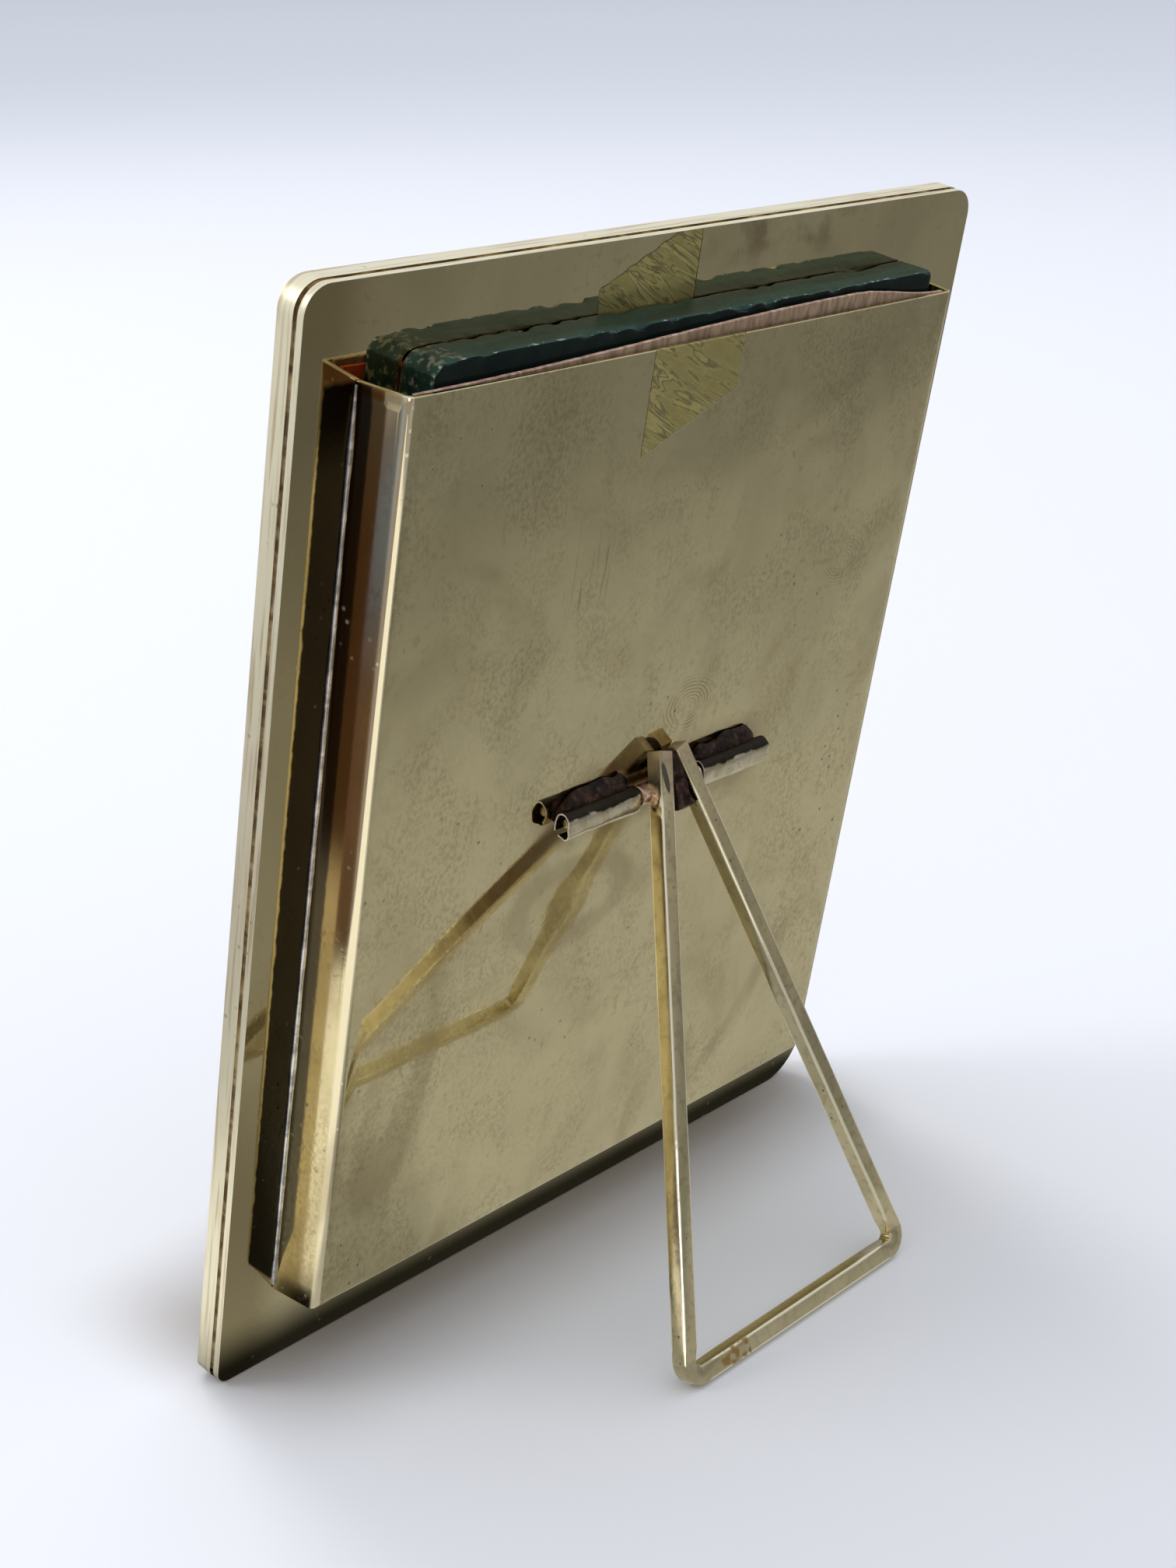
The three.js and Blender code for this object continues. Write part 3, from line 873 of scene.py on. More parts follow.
def makePlates():
    p = plateSize
    bm = bmesh.new()
    edges = plateLines(bm, 0, 0, p["front"] * mm)
    fillAndThicken(bm, edges, p["thickness"] * mm)
    softenEdges(bm, p["edgeRound"] * mm, 4)
    edgesApart(bm)
    plate = addPiece(
        "frontPlate", bm, onPlate, [frontPlateBrass, plateEdgeBrass], "frame", ["front_plate"],
    )
    plate.modifiers.new("flat faces", "WEIGHTED_NORMAL").keep_sharp = True

    bm = bmesh.new()
    edges = plateLines(bm, p["sheetInset"], p["windowStep"], -p["sheet"] * mm)
    fillAndThicken(bm, edges, p["sheet"] * mm)
    softenEdges(bm, p["sheetRound"] * mm, 2)
    edgesApart(bm)
    sheet = addPiece(
        "backSheet", bm, onPlate, [backSheetBrass, plateEdgeBrass], "frame", ["back_sheet"],
    )
    sheet.modifiers.new("flat faces", "WEIGHTED_NORMAL").keep_sharp = True

    bm = bmesh.new()
    depth = (p["front"] + p["thickness"] - p["seamSunk"]) * mm
    edges = plateLines(bm, p["seamInset"], p["windowStep"] + p["seamStep"], depth)
    straightRuns = [edge for edge in edges if edge.calc_length() > 10 * mm]
    bmesh.ops.subdivide_edges(bm, edges=straightRuns, cuts=p["seamCuts"])
    for vert in bm.verts:
        push = lump(vert.co, 420, 1) * p["seamUneven"] * mm
        vert.co.x += math.copysign(push, vert.co.x)
        vert.co.z += lump(vert.co, 380, 2) * p["seamUneven"] * mm
    fillAndThicken(bm, list(bm.edges), (p["seam"] + 2 * p["seamSunk"]) * mm)
    addPiece("seamSolder", bm, onPlate, [seamMetal], "frame", ["seam_solder"])


makePlates()


# Pocket

pocketSize = {
    "left": 37.35, "right": -35.9, "foot": 8.65, "head": 96.95, "depth": 5.3, "front": 0.05,
    "wall": 0.5, "fold": 1.0, "rimRound": 0.09,
    "foldDip": 0.16, "foldDipWidth": 5.5, "dent": 0.07, "flare": 0.7,
    "stampDent": 0.05, "stampX": 9.5, "stampZ": 43.5, "stampHalfX": 3.2, "stampHalfZ": 2.2,
}


def makePocket():
    p = {name: value * mm for name, value in pocketSize.items()}
    bm = bmesh.new()
    bmesh.ops.create_cube(bm, size=1)
    size = (p["left"] - p["right"], p["depth"] - p["front"], p["head"] - p["foot"])
    middle = (
        (p["left"] + p["right"]) / 2, (p["depth"] + p["front"]) / 2, (p["head"] + p["foot"]) / 2
    )
    bmesh.ops.scale(bm, vec=size, verts=bm.verts)
    bmesh.ops.translate(bm, vec=middle, verts=bm.verts)
    openSides = [f for f in bm.faces if f.normal.y < -0.5 or f.normal.z > 0.5]
    bmesh.ops.delete(bm, geom=openSides, context="FACES")
    panel = next(f for f in bm.faces if f.normal.y > 0.5)
    folds = [edge for edge in panel.edges if len(edge.link_faces) == 2]
    bmesh.ops.bevel(
        bm, geom=folds, offset=p["fold"], offset_type="OFFSET", segments=7, profile=0.5,
        affect="EDGES", material=-1,
    )
    sliced(bm, 0, spread(p["right"] + p["fold"], p["left"] - p["fold"], 64))
    sliced(bm, 2, spread(p["foot"] + p["fold"], p["head"], 60))
    wallTop = p["depth"] - p["fold"]
    sliced(bm, 1, [wallTop * share for share in (0.2, 0.4, 0.6, 0.8, 0.97)])
    for vert in bm.verts:
        x, y, z = vert.co
        toLeft = max(0.0, p["left"] - x)
        toRight = max(0.0, x - p["right"])
        toFoot = max(0.0, z - p["foot"])
        share = min(1.0, max(0.0, (y - 0.6 * p["depth"]) / (0.4 * p["depth"])))
        dip = p["foldDip"] * math.exp(-((toLeft / p["foldDipWidth"]) ** 2))
        dip *= 0.6 + 0.4 * math.sin(z * 95 + 0.6)
        dip += p["foldDip"] * 0.4 * math.exp(-((toRight / p["foldDipWidth"]) ** 2))
        dip += p["foldDip"] * 0.25 * math.exp(-((toFoot / p["foldDipWidth"]) ** 2))
        wave = p["dent"] * lump(vert.co, 28, 3) + 0.3 * p["dent"] * lump(vert.co, 75, 4)
        stamp = ((x - p["stampX"]) / p["stampHalfX"]) ** 2 + ((z - p["stampZ"]) / p["stampHalfZ"]) ** 2
        dip += p["stampDent"] * math.exp(-stamp)
        vert.co.y -= share * (dip - wave)
        low = max(0.0, 1 - y / (p["depth"] - p["fold"]))
        if toLeft < p["fold"]:
            vert.co.x += p["flare"] * low
        if toRight < p["fold"]:
            vert.co.x -= p["flare"] * low
    bmesh.ops.recalc_face_normals(bm, faces=bm.faces)
    if sum(f.normal.y * f.calc_area() for f in bm.faces) < 0:
        bmesh.ops.reverse_faces(bm, faces=bm.faces)
    bmesh.ops.solidify(bm, geom=list(bm.faces), thickness=p["wall"])
    softenEdges(bm, p["rimRound"], 2, 65)
    addPiece("pocketShell", bm, onPlate, [panelBrass], "frame", ["pocket"], 50)


makePocket()


# A run of solder along a line, thicker and thinner as the iron left it.
def solderRun(name, start, end, look, nodes):
    start = Vector(start) * mm
    end = Vector(end) * mm
    length = (end - start).length
    axis = (end - start).normalized()
    bm = bmesh.new()
    turn = Vector((0, 0, 1)).rotation_difference(axis).to_matrix().to_4x4()
    first = bmesh.ops.create_circle(
        bm, segments=12, radius=look["radius"] * mm, matrix=Matrix.Translation(start) @ turn
    )
    ring = list({edge for vert in first["verts"] for edge in vert.link_edges})
    rings = [first["verts"]]
    for i in range(look["steps"]):
        grown = bmesh.ops.extrude_edge_only(bm, edges=ring)["geom"]
        verts = [v for v in grown if isinstance(v, bmesh.types.BMVert)]
        ring = [e for e in grown if isinstance(e, bmesh.types.BMEdge)]
        bmesh.ops.translate(bm, verts=verts, vec=axis * length / look["steps"])
        rings.append(verts)
    for i, verts in enumerate(rings):
        along = i / look["steps"]
        centre = start + axis * length * along
        size = 1 + look["uneven"] * lump(centre, 260, look["seed"])
        size += look["blob"] * math.exp(-(((along - look["blobAt"]) * length / (1.6 * mm)) ** 2))
        size *= 0.35 + 0.65 * min(1, 12 * min(along, 1 - along) + 0.2)
        for vert in verts:
            vert.co = centre + (vert.co - centre) * size * (1 + 0.14 * lump(vert.co, 1500, 6))
    bmesh.ops.holes_fill(bm, edges=[e for e in bm.edges if e.is_boundary], sides=0)
    bmesh.ops.recalc_face_normals(bm, faces=bm.faces)
    addPiece(name, bm, onPlate, [brightSolder], "frame", nodes)


solderLook = {"radius": 0.2, "steps": 150, "uneven": 0.35, "blob": 1.6, "blobAt": 0.012, "seed": 1}
sides = pocketSize["left"] + pocketSize["flare"], pocketSize["right"] - pocketSize["flare"]
foot = pocketSize["foot"]
solderRun(
    "wallSolderLeft", (sides[0], 0.08, foot + 0.6), (sides[0], 0.08, 96.6), solderLook,
    ["pocket_solder_left"],
)
solderRun(
    "wallSolderRight", (sides[1], 0.08, foot + 0.6), (sides[1], 0.08, 96.6),
    {**solderLook, "seed": 2}, ["pocket_solder_right"],
)
solderRun(
    "footSolder", (sides[1] + 1, 0.08, foot - 0.05), (sides[0] - 1, 0.08, foot - 0.05),
    {**solderLook, "seed": 3, "blob": 0.3}, ["pocket_solder_foot"],
)


# Glass, picture and card in the pocket

contents = {
    "glassLeft": 33.45, "glassRight": -33.5, "glassFoot": 9.25, "glassHead": 98.8,
    "glassFront": 0.1, "glassThickness": 3.8, "glassChip": 1.1, "glassEdge": 0.16,
    "paperLeft": 35.85, "paperRight": -34.4, "paperHead": 96.45, "paperFront": 4.0,
    "paperThickness": 0.25,
    "cardLeft": 36.25, "cardRight": -34.8, "cardFoot": 9.75, "cardHead": 96.95,
    "cardFront": 4.35, "cardThickness": 0.35, "cardProud": 1.35, "cardPeak": -19.9,
}


def flatBox(bm, left, right, front, back, foot, head):
    bmesh.ops.create_cube(bm, size=1)
    bmesh.ops.scale(bm, vec=(left - right, back - front, head - foot), verts=bm.verts)
    middle = ((left + right) / 2, (front + back) / 2, (foot + head) / 2)
    bmesh.ops.translate(bm, vec=middle, verts=bm.verts)


def makeGlass():
    c = {name: value * mm for name, value in contents.items()}
    bm = bmesh.new()
    back = c["glassFront"] + c["glassThickness"]
    flatBox(bm, c["glassLeft"], c["glassRight"], c["glassFront"], back, c["glassFoot"], c["glassHead"])
    corner = [
        e for e in bm.edges
        if all(v.co.x > c["glassLeft"] - mm and v.co.z > c["glassHead"] - mm for v in e.verts)
    ]
    bmesh.ops.bevel(
        bm, geom=corner, offset=c["glassChip"], offset_type="OFFSET", segments=1, profile=0.5,
        affect="EDGES", material=-1,
    )
    softenEdges(bm, c["glassEdge"], 2, 30)
    sliced(bm, 0, spread(c["glassRight"], c["glassLeft"], 120))
    sliced(bm, 2, [c["glassHead"] - d * mm for d in (0.25, 0.5, 0.9, 1.4, 2.2)])
    sliced(bm, 1, spread(c["glassFront"], back, 7))
    for vert in bm.verts:
        nearHead = math.exp(-((c["glassHead"] - vert.co.z) / (0.45 * mm)))
        nearBack = math.exp(-((back - vert.co.y) / (0.5 * mm)))
        nearFront = math.exp(-((vert.co.y - c["glassFront"]) / (0.5 * mm)))
        chip = max(0.0, lump(vert.co, 520, 7) - 0.05) * nearHead * (nearBack + 0.6 * nearFront)
        vert.co.z -= chip * 1.1 * mm
        vert.co.y -= chip * (nearBack - nearFront) * 0.8 * mm
        nearCorner = math.exp(-((c["glassLeft"] - vert.co.x) / (2.2 * mm))) * nearHead
        vert.co.z -= nearCorner * 0.45 * mm * abs(lump(vert.co, 900, 8))
    for face in bm.faces:
        middle = face.calc_center_median()
        face.material_index = 0 if abs(face.normal.y) > 0.8 else 1
        if face.normal.y > 0.8 and middle.z > c["glassHead"] - 6 * mm:
            face.material_index = 2
    addPiece(
        "glassPane", bm, onPlate, [glassPaneFinish, glassEdgeFinish, glassShade], "glass",
        ["glass_pane"], 25,
    )


def makePicture():
    c = {name: value * mm for name, value in contents.items()}
    bm = bmesh.new()
    back = c["paperFront"] + c["paperThickness"]
    flatBox(bm, c["paperLeft"], c["paperRight"], c["paperFront"], back, c["glassFoot"], c["paperHead"])
    sliced(bm, 0, spread(c["paperRight"], c["paperLeft"], 24))
    sliced(bm, 2, spread(c["glassFoot"], c["paperHead"], 24))
    for vert in bm.verts:
        if vert.co.z > c["paperHead"] - mm:
            vert.co.z -= 0.25 * mm * abs(lump((vert.co.x, 0, 0), 300, 9))
    softenEdges(bm, 0.04 * mm, 1)
    addPiece("pictureSheet", bm, onPlate, [redPaper], "picture", ["picture_sheet"])


def makeCard():
    c = {name: value * mm for name, value in contents.items()}
    bm = bmesh.new()
    back = c["cardFront"] + c["cardThickness"]
    flatBox(bm, c["cardLeft"], c["cardRight"], c["cardFront"], back, c["cardFoot"], c["cardHead"])
    sliced(bm, 0, spread(c["cardRight"], c["cardLeft"], 110))
    sliced(bm, 2, [c["cardHead"] - d * mm for d in (0.4, 1.2, 3, 8, 20, 45)])
    for vert in bm.verts:
        if vert.co.x > c["cardPeak"]:
            share = (vert.co.x - c["cardPeak"]) / (c["cardLeft"] - c["cardPeak"])
        else:
            share = (c["cardPeak"] - vert.co.x) / (c["cardPeak"] - c["cardRight"])
        rise = 0.5 + 0.5 * math.cos(math.pi * min(1, share))
        weight = max(0.0, 1 - (c["cardHead"] - vert.co.z) / (10 * mm))
        vert.co.z += weight * (c["cardProud"] * rise + 0.05 * mm * lump((vert.co.x, 0, 0), 900, 10))
    for face in bm.faces:
        face.material_index = 1 if abs(face.normal.y) < 0.5 else 0
    softenEdges(bm, 0.05 * mm, 1, 55)
    addPiece(
        "backingCard", bm, onPlate, [brownCard, cardEdge], "card", ["backing_card"]
    )


makeGlass()
makePicture()
makeCard()


# Hinge

hingeSize = {
    "knuckleNear": 4.65, "knuckleLength": 9.9, "halfHeight": 1.42, "halfDepth": 1.1, "wall": 0.35,
    "lip": 0.26, "gapAngle": 16, "seamAngle": -128, "sleeveRadius": 1.0, "sleeveHalf": 4.35,
    "sleeveBoreDepth": 0.5, "sleeveWall": 0.35, "pinRadius": 0.5, "pinHalf": 13.95, "steps": 26,
    "fluxNear": -1.38, "fluxFar": 0.15, "fluxFoot": -1.0, "fluxHead": 2.3, "fluxTaper": 1.2,
}


# Positive where a face looks away from the hinge's axis.
def outward(face):
    middle = face.calc_center_median()
    return face.normal.y * middle.y + face.normal.z * middle.z


def makeKnuckle(name, side, seed, node):
    h = hingeSize
    bm = bmesh.new()
    turn = Matrix.Rotation(math.radians(90), 4, "Y")
    ring = bmesh.ops.create_circle(bm, segments=48, radius=1, matrix=turn)["verts"]
    seam = math.radians(h["seamAngle"])
    cut = []
    for vert in ring:
        angle = math.atan2(vert.co.z, vert.co.y)
        off = (angle - seam + math.pi) % (2 * math.pi) - math.pi
        if abs(off) < math.radians(h["gapAngle"] / 2):
            cut.append(vert)
        towardsLip = max(0.0, math.cos(angle + math.pi / 4))
        reach = 1 + h["lip"] * towardsLip ** 8
        vert.co.y = (h["halfDepth"] - h["wall"] / 2) * mm * math.cos(angle) * reach
        vert.co.z = (h["halfHeight"] - h["wall"] / 2) * mm * math.sin(angle) * reach
    bmesh.ops.delete(bm, geom=cut, context="VERTS")
    start = h["knuckleNear"] if side > 0 else -h["knuckleNear"] - h["knuckleLength"]
    bmesh.ops.translate(bm, verts=bm.verts, vec=(start * mm, 0, 0))
    line = list(bm.edges)
    for i in range(h["steps"]):
        grown = bmesh.ops.extrude_edge_only(bm, edges=line)["geom"]
        verts = [v for v in grown if isinstance(v, bmesh.types.BMVert)]
        line = [e for e in grown if isinstance(e, bmesh.types.BMEdge)]
        bmesh.ops.translate(bm, verts=verts, vec=(h["knuckleLength"] * mm / h["steps"], 0, 0))
    for vert in bm.verts:
        squeeze = 1 + 0.07 * lump(vert.co, 330, seed) + 0.03 * lump(vert.co, 1100, seed + 1)
        vert.co.y *= min(1.04, squeeze)
        vert.co.z *= min(1.04, squeeze)
        outer = abs(vert.co.x) - h["knuckleNear"] * mm - h["knuckleLength"] * mm
        vert.co.x += 0.25 * mm * lump(vert.co, 900, seed + 2) * (abs(outer) < 0.05 * mm)
    bmesh.ops.recalc_face_normals(bm, faces=bm.faces)
    if sum(outward(face) for face in bm.faces) < 0:
        bmesh.ops.reverse_faces(bm, faces=bm.faces)
    bmesh.ops.solidify(bm, geom=list(bm.faces), thickness=h["wall"] * mm * 0.5)
    softenEdges(bm, 0.05 * mm, 2, 60)
    # The end faces take the painted rim highlight, and the faces turned to the axis the dark solder.
    for face in bm.faces:
        if abs(face.normal.x) > 0.5:
            face.material_index = 1
        elif outward(face) < 0:
            face.material_index = 2
    addPiece(
        name, bm, onHinge, [knuckleBrass, paintedRimHighlight, darkSolder], "frame", [node], 50
    )


def makeFlux(name, start, end, seed, nodes):
    h = hingeSize
    near = h["fluxNear"] * mm
    bm = bmesh.new()
    flatBox(
        bm, end * mm, start * mm, near, h["fluxFar"] * mm, h["fluxFoot"] * mm, h["fluxHead"] * mm
    )
    bmesh.ops.subdivide_edges(bm, edges=list(bm.edges), cuts=3, use_grid_fill=True)
    sliced(bm, 0, spread(start * mm, end * mm, 34))
    for vert in bm.verts:
        outer = min(vert.co.x - start * mm, end * mm - vert.co.x) / (h["fluxTaper"] * mm)
        taper = 0.35 + 0.65 * min(1, max(0, outer))
        vert.co.z *= taper * (1 + 0.2 * lump(vert.co, 450, seed))
        if vert.co.y > near + 0.08 * mm:
            high = abs(vert.co.z - 0.5 * mm) / (2.1 * mm)
            vert.co.y = near + (vert.co.y - near) * taper * max(0.12, 1 - high * high)
            vert.co.y += 0.10 * mm * lump(vert.co, 700, seed + 1)
    smoothed(bm, 0.4)
    bmesh.ops.recalc_face_normals(bm, faces=bm.faces)
    addPiece(name, bm, onHinge, [darkSolder], "frame", nodes, 60)


def makeRod(bm, radius, half, segments=32):
    turn = Matrix.Rotation(math.radians(90), 4, "Y")
    bmesh.ops.create_cone(
        bm, cap_ends=True, cap_tris=False, segments=segments, radius1=radius, radius2=radius,
        depth=2 * half, matrix=turn,
    )


def makeHinge():
    h = hingeSize
    makeKnuckle("knuckleLeft", 1, 11, "hinge_knuckle_left")
    makeKnuckle("knuckleRight", -1, 15, "hinge_knuckle_right")
    near = h["knuckleNear"]
    far = near + h["knuckleLength"]
    makeFlux("knuckleFluxLeft", near - 0.2, far - 0.5, 21, ["knuckle_solder_left"])
    makeFlux("knuckleFluxRight", -far + 0.3, -near + 0.2, 25, ["knuckle_solder_right"])

    bm = bmesh.new()
    makeRod(bm, h["pinRadius"] * mm, h["pinHalf"] * mm)
    softenEdges(bm, 0.12 * mm, 3)
    addPiece("hingePin", bm, onStrut, [strutBrass], "strut", ["hinge_pin"])

    bm = bmesh.new()
    makeRod(bm, h["sleeveRadius"] * mm, h["sleeveHalf"] * mm, 40)
    caps = [f for f in bm.faces if abs(f.normal.x) > 0.9]
    bmesh.ops.inset_region(bm, faces=caps, thickness=h["sleeveWall"] * mm, depth=0)
    for face in caps:
        bmesh.ops.translate(bm, verts=face.verts, vec=-face.normal * h["sleeveBoreDepth"] * mm)
    softenEdges(bm, 0.1 * mm, 2)
    sliced(bm, 0, spread(-h["sleeveHalf"] * mm, h["sleeveHalf"] * mm, 20))
    for vert in bm.verts:
        vert.co.y *= 1 + 0.05 * lump(vert.co, 800, 31)
        vert.co.z *= 1 + 0.05 * lump(vert.co, 800, 32)
    addPiece("hingeSleeve", bm, onStrut, [copperRing], "strut", ["hinge_sleeve"])


makeHinge()


# Strut

strutSize = {
    "bar": 1.8, "standOff": 0.38, "chamfer": 0.26, "bend": 2.4, "headX": 1.15, "footX": 16.7,
    "reach": 52.78, "head": 3.49, "pinch": 0.42, "legSteps": 46, "footSteps": 26, "bendSteps": 16,
    "endRound": 0.1, "wobble": 0.03,
    "webHalf": 0.75, "webNear": 0.3, "webFar": 2.0, "webFoot": -2.4, "webHead": 3.2,
}


def makeStrut():
    s = strutSize
    half = s["bar"] / 2
    legAngle = math.atan2(s["footX"] - s["headX"], s["reach"] + s["head"])
    middleRadius = s["bend"] - half
    cornerAngle = math.pi / 2 - legAngle
    bendX = s["footX"] - middleRadius / math.tan(cornerAngle / 2)
    bendZ = -s["reach"] + middleRadius
    depth = s["standOff"] + half
    bm = bmesh.new()
    # The section at the top of the left leg, its corners cut twice for a rounded chamfer.
    grid = bmesh.ops.create_grid(bm, x_segments=1, y_segments=1, size=half * mm)["verts"]
    bmesh.ops.bevel(
        bm, geom=grid, offset=s["chamfer"] * mm, offset_type="OFFSET", segments=3, profile=0.6,
        affect="VERTICES", material=-1,
    )
    down = Vector((math.sin(legAngle), 0, -math.cos(legAngle)))
    turn = Matrix.Rotation(math.pi - legAngle, 4, "Y")
    bmesh.ops.transform(bm, matrix=turn, verts=bm.verts)
    start = Vector((s["headX"], depth, s["head"])) * mm
    bmesh.ops.translate(bm, verts=bm.verts, vec=start)
    bendStart = Vector((bendX + middleRadius * math.cos(legAngle), depth,
                        bendZ + middleRadius * math.sin(legAngle))) * mm
    length = (bendStart - start).dot(down)

    def drawOut(direction, distance, steps, faces):
        for i in range(steps):
            grown = bmesh.ops.extrude_face_region(bm, geom=faces)["geom"]
            bmesh.ops.delete(bm, geom=faces, context="FACES_ONLY")
            faces = [f for f in grown if isinstance(f, bmesh.types.BMFace)]
            verts = [v for v in grown if isinstance(v, bmesh.types.BMVert)]
            bmesh.ops.translate(bm, verts=verts, vec=direction * distance / steps)
        return faces

    def turnRound(centre, angle, faces):
        spun = bmesh.ops.spin(
            bm, geom=faces, cent=centre, axis=(0, 1, 0), angle=angle, steps=s["bendSteps"],
            use_merge=False,
        )["geom_last"]
        bmesh.ops.delete(bm, geom=faces, context="FACES_ONLY")
        return [f for f in spun if isinstance(f, bmesh.types.BMFace)]

    first = list(bm.faces)
    keep = bmesh.ops.duplicate(bm, geom=first + list(bm.edges) + list(bm.verts))["geom"]
    faces = [f for f in keep if isinstance(f, bmesh.types.BMFace)]
    faces = drawOut(down, length, s["legSteps"], faces)
    sweep = math.pi / 2 + legAngle
    faces = turnRound(Vector((bendX, depth, bendZ)) * mm, sweep, faces)
    faces = drawOut(Vector((-1, 0, 0)), 2 * bendX * mm, s["footSteps"], faces)
    faces = turnRound(Vector((-bendX, depth, bendZ)) * mm, sweep, faces)
    up = Vector((down.x, 0, -down.z))
    faces = drawOut(up, length, s["legSteps"], faces)
    bmesh.ops.remove_doubles(bm, verts=bm.verts, dist=1e-6)
    bmesh.ops.recalc_face_normals(bm, faces=bm.faces)

    # Each bend is pinched inside, and the bar is a little uneven all along.
    for vert in bm.verts:
        side = math.copysign(1, vert.co.x)
        centre = Vector((side * bendX, depth, bendZ)) * mm
        away = vert.co - centre
        away.y = 0
        far = away.length / mm
        squeeze = math.exp(-((far / 1.5) ** 2))
        across = (vert.co.y / mm - depth) / half
        vert.co.y -= squeeze * s["pinch"] * across * mm * 0.8
        corner = Vector((side * (bendX + 0.2), depth, bendZ + 0.3)) * mm
        near = vert.co - corner
        near.y = 0
        vert.co.y += 0.10 * mm * across * math.exp(-((near.length / mm - 1.2) / 0.5) ** 2)
        vert.co.x += s["wobble"] * mm * lump(vert.co, 300, 41)
        vert.co.y += s["wobble"] * mm * lump(vert.co, 300, 42)
    ends = [f for f in bm.faces if len(f.verts) > 6]
    for face in ends:
        bmesh.ops.bevel(
            bm, geom=list(face.edges), offset=s["endRound"] * mm, offset_type="OFFSET", segments=2,
            profile=0.5, affect="EDGES", material=-1,
        )
    addPiece("strutBar", bm, onStrut, [strutBrass], "strut", ["strut_bar"], 32)

    # The web of solder between the two ends of the bar.
    bm = bmesh.new()
    flatBox(
        bm, s["webHalf"] * mm, -s["webHalf"] * mm, s["webNear"] * mm, s["webFar"] * mm,
        s["webFoot"] * mm, s["webHead"] * mm,
    )
    bmesh.ops.subdivide_edges(bm, edges=list(bm.edges), cuts=9, use_grid_fill=True)
    for vert in bm.verts:
        vert.co += Vector(
            (0.10 * lump(vert.co, 900, 51), 0.35 * lump(vert.co, 800, 52), 0.5 * lump(vert.co, 700, 53))
        ) * mm
        vert.co.x *= 1 + max(0, -vert.co.z / mm) * 0.35
    smoothed(bm, 0.5)
    bmesh.ops.recalc_face_normals(bm, faces=bm.faces)
    addPiece(
        "strutSolder", bm, onStrut, [darkSolder], "strut", ["strut_solder"], 70
    )


makeStrut()


# Floor, reflections and light

studio = {
    "floor": (0.80, 0.815, 0.86), "floorFar": (0.74, 0.765, 0.84),
    "floorBlotch": (0.70, 0.70, 0.76), "floorBeside": (0.30, 0.26, 0.23),
    "skyHigh": (0.62, 0.64, 0.68), "skyLow": (0.30, 0.29, 0.28),
    "warm": (1.0, 0.98, 0.95), "pale": (0.97, 0.98, 1.0), "cool": (0.95, 0.98, 1.0),
}

# A glossy lamp shows in the brass, and a lamp that isn't diffuse lights nothing else.
lamps = {
    "dome": {"from": (0, 0, 5), "size": 14, "power": 215, "colour": "pale", "glossy": False,
             "diffuse": True},
    "front": {"from": (-0.35, -0.95, 1.25), "size": 0.55, "power": 5.6, "colour": "warm",
              "glossy": False, "diffuse": True},
    "side": {"from": (0.46, -0.50, 0.11), "size": 0.26, "power": 0.12, "colour": "warm",
             "glossy": True, "diffuse": False},
    "window": {"from": (0.50, 0.55, 0.11), "size": 0.26, "power": 0.36, "colour": "cool",
               "glossy": True, "diffuse": False},
    "key": {"from": (0.75, -0.62, 0.85), "size": 0.5, "power": 3.0, "colour": "warm",
            "glossy": True, "diffuse": True},
}


def addLamp(name, look):
    data = bpy.data.lights.new(name, "AREA")
    data.shape = "DISK"
    data.size = look["size"]
    data.energy = look["power"]
    data.color = studio[look["colour"]]
    lamp = bpy.data.objects.new(name, data)
    lamp.location = look["from"]
    lamp.rotation_euler = Vector(look["from"]).to_track_quat("Z", "Y").to_euler()
    lamp.visible_glossy = look["glossy"]
    lamp.visible_diffuse = look["diffuse"]
    scene.collection.objects.link(lamp)


def floorPlane(name, size, height, finish):
    bm = bmesh.new()
    bmesh.ops.create_grid(bm, x_segments=8, y_segments=8, size=size)
    bmesh.ops.translate(bm, verts=bm.verts, vec=(0, 0, height))
    mesh = bpy.data.meshes.new(name)
    bm.to_mesh(mesh)
    bm.free()
    mesh.materials.append(finish)
    plane = bpy.data.objects.new(name, mesh)
    scene.collection.objects.link(plane)
    return plane


def floorFinish():
    material, s = newSheet("floor")
    at = s.place()
    x, y, z = s.split(at)
    far = s.step((x * x + y * y) ** 0.5, 0.15, 1.6)
    tone = s.mix(far, studio["floor"], studio["floorFar"])
    tone = s.mix(s.noise(at, 6, 3) * 0.12, tone, studio["floorBlotch"])
    # Darker along the plates' foot, where little light gets in.
    beside = s.step(abs(y + 0.020), 0.024, 0.002) * s.step(abs(x), 0.050, 0.036)
    tone = s.mix(beside * 0.75, tone, studio["floorBeside"])
    s.shader({"Base Color": tone, "Roughness": 0.9, "Specular IOR Level": 0.1})
    return material


tableTone = {
    "far": (0.215, 0.215, 0.21), "near": (0.46, 0.46, 0.445), "horizon": (0.30, 0.29, 0.28),
    "dim": (0.12, 0.12, 0.09), "room": (0.14, 0.085, 0.055), "blue": (0.15, 0.17, 0.24),
    "bright": (1.0, 0.97, 0.90), "shadow": (0.08, 0.075, 0.06), "footShadow": (0.03, 0.026, 0.02),
    "under": (0.02, 0.02, 0.018),
}


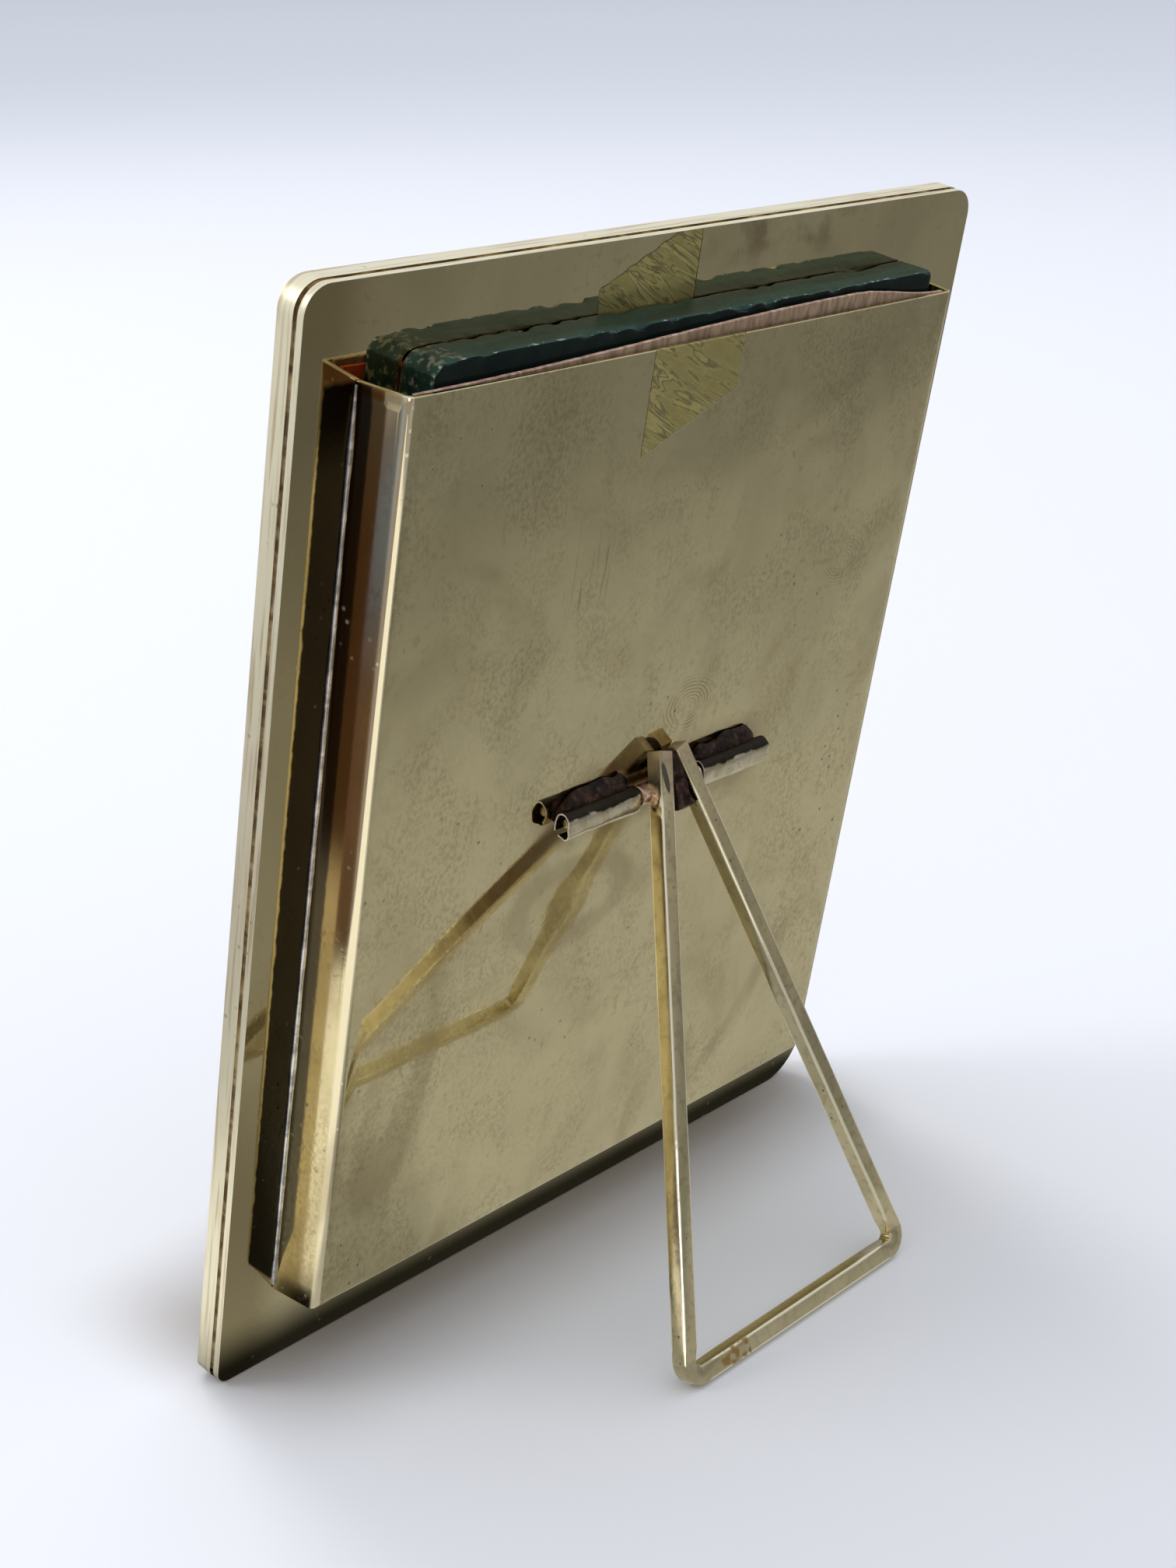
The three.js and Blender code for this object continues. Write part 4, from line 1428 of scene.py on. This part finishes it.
# What the brass mirrors: a plane seen only in reflections, glowing with painted light and shade as a
# dull table in zones, each set by where a face of the brass looks.
def tableFinish():
    material, s = newSheet("mirrored table")
    x, y, z = s.split(s.place())

    def spot(centreX, centreY, radius, soft):
        offX = (x - centreX) * (x - centreX)
        offY = (y - centreY) * (y - centreY)
        return s.step((offX + offY) ** 0.5, radius + soft, radius - soft)

    near = (1 - s.step(y, 0.0, 0.125)) ** 0.7
    tone = s.mix(near, tableTone["far"], tableTone["near"])
    # The zones beside the left wall: dim low on it, then the brown room, blue further out.
    dim = s.band(x, 0.045, 0.125, 0.01) * s.band(y, -0.12, -0.048, 0.008)
    tone = s.mix(dim, tone, tableTone["dim"])
    room = s.step(y, -0.20, -0.14)
    tone = s.mix(s.step(x, 0.100, 0.125) * room, tone, tableTone["room"])
    corner = s.step(y, -0.085, -0.105) * s.step(x, 0.03, 0.06)
    tone = s.mix(corner * room, tone, tableTone["room"])
    tone = s.mix(s.step((x * x + y * y) ** 0.5, 0.5, 1.5), tone, tableTone["horizon"])
    blue = room * s.step(x, 0.19, 0.27) * s.step(y, 0.15, 0.09)
    tone = s.mix(blue, tone, tableTone["blue"])
    # The lit stretch of table next to the wall, which widens away from the plates.
    reach = 0.112 + 0.55 * s.sum("MAXIMUM", y - 0.03, 0.0)
    bright = s.step(x, 0.043, 0.053) * s.step(x - reach, 0.009, -0.004)
    bright = bright * s.band(y, -0.052, 0.14, 0.01)
    tone = s.mix(bright, tone, tableTone["bright"])
    # Soft shadows by the plates' foot and by the strut's, and the dark right under the plates.
    tone = s.mix(spot(0.028, 0.001, 0.013, 0.012) * 0.4, tone, tableTone["shadow"])
    tone = s.mix(spot(0.037, 0.027, 0.013, 0.011) * 0.6, tone, tableTone["footShadow"])
    under = s.step(y, -0.0102, -0.0150) * s.step(y, -0.03, -0.022) * s.step(abs(x), 0.055, 0.043)
    tone = s.mix(under, tone, tableTone["under"])
    s.shader(
        {
            "Base Color": (0, 0, 0),
            "Specular IOR Level": 0.0,
            "Emission Color": tone,
            "Emission Strength": 1.0,
        }
    )
    return material


def makeWorld():
    world = bpy.data.worlds.new("world")
    scene.world = world
    world.use_nodes = True
    s = Sheet(world.node_tree)
    x, y, z = s.split(s.place("Generated"))
    height = s.step(z, 0.0, 0.45)
    tone = s.mix(height, studio["skyLow"], studio["skyHigh"])
    light = s.node("ShaderNodeBackground", None, {"Color": tone, "Strength": 1.0})
    s.node("ShaderNodeOutputWorld", None, {"Surface": light})


floor = floorPlane("floor", 30, -0.02 * mm, floorFinish())
floor.visible_glossy = False
table = floorPlane("mirroredTable", 4, -0.01 * mm, tableFinish())
table.visible_camera = False
table.visible_diffuse = False
table.visible_transmission = False
table.visible_shadow = False
makeWorld()
for name, look in lamps.items():
    addLamp(name, look)
print("studio lit")
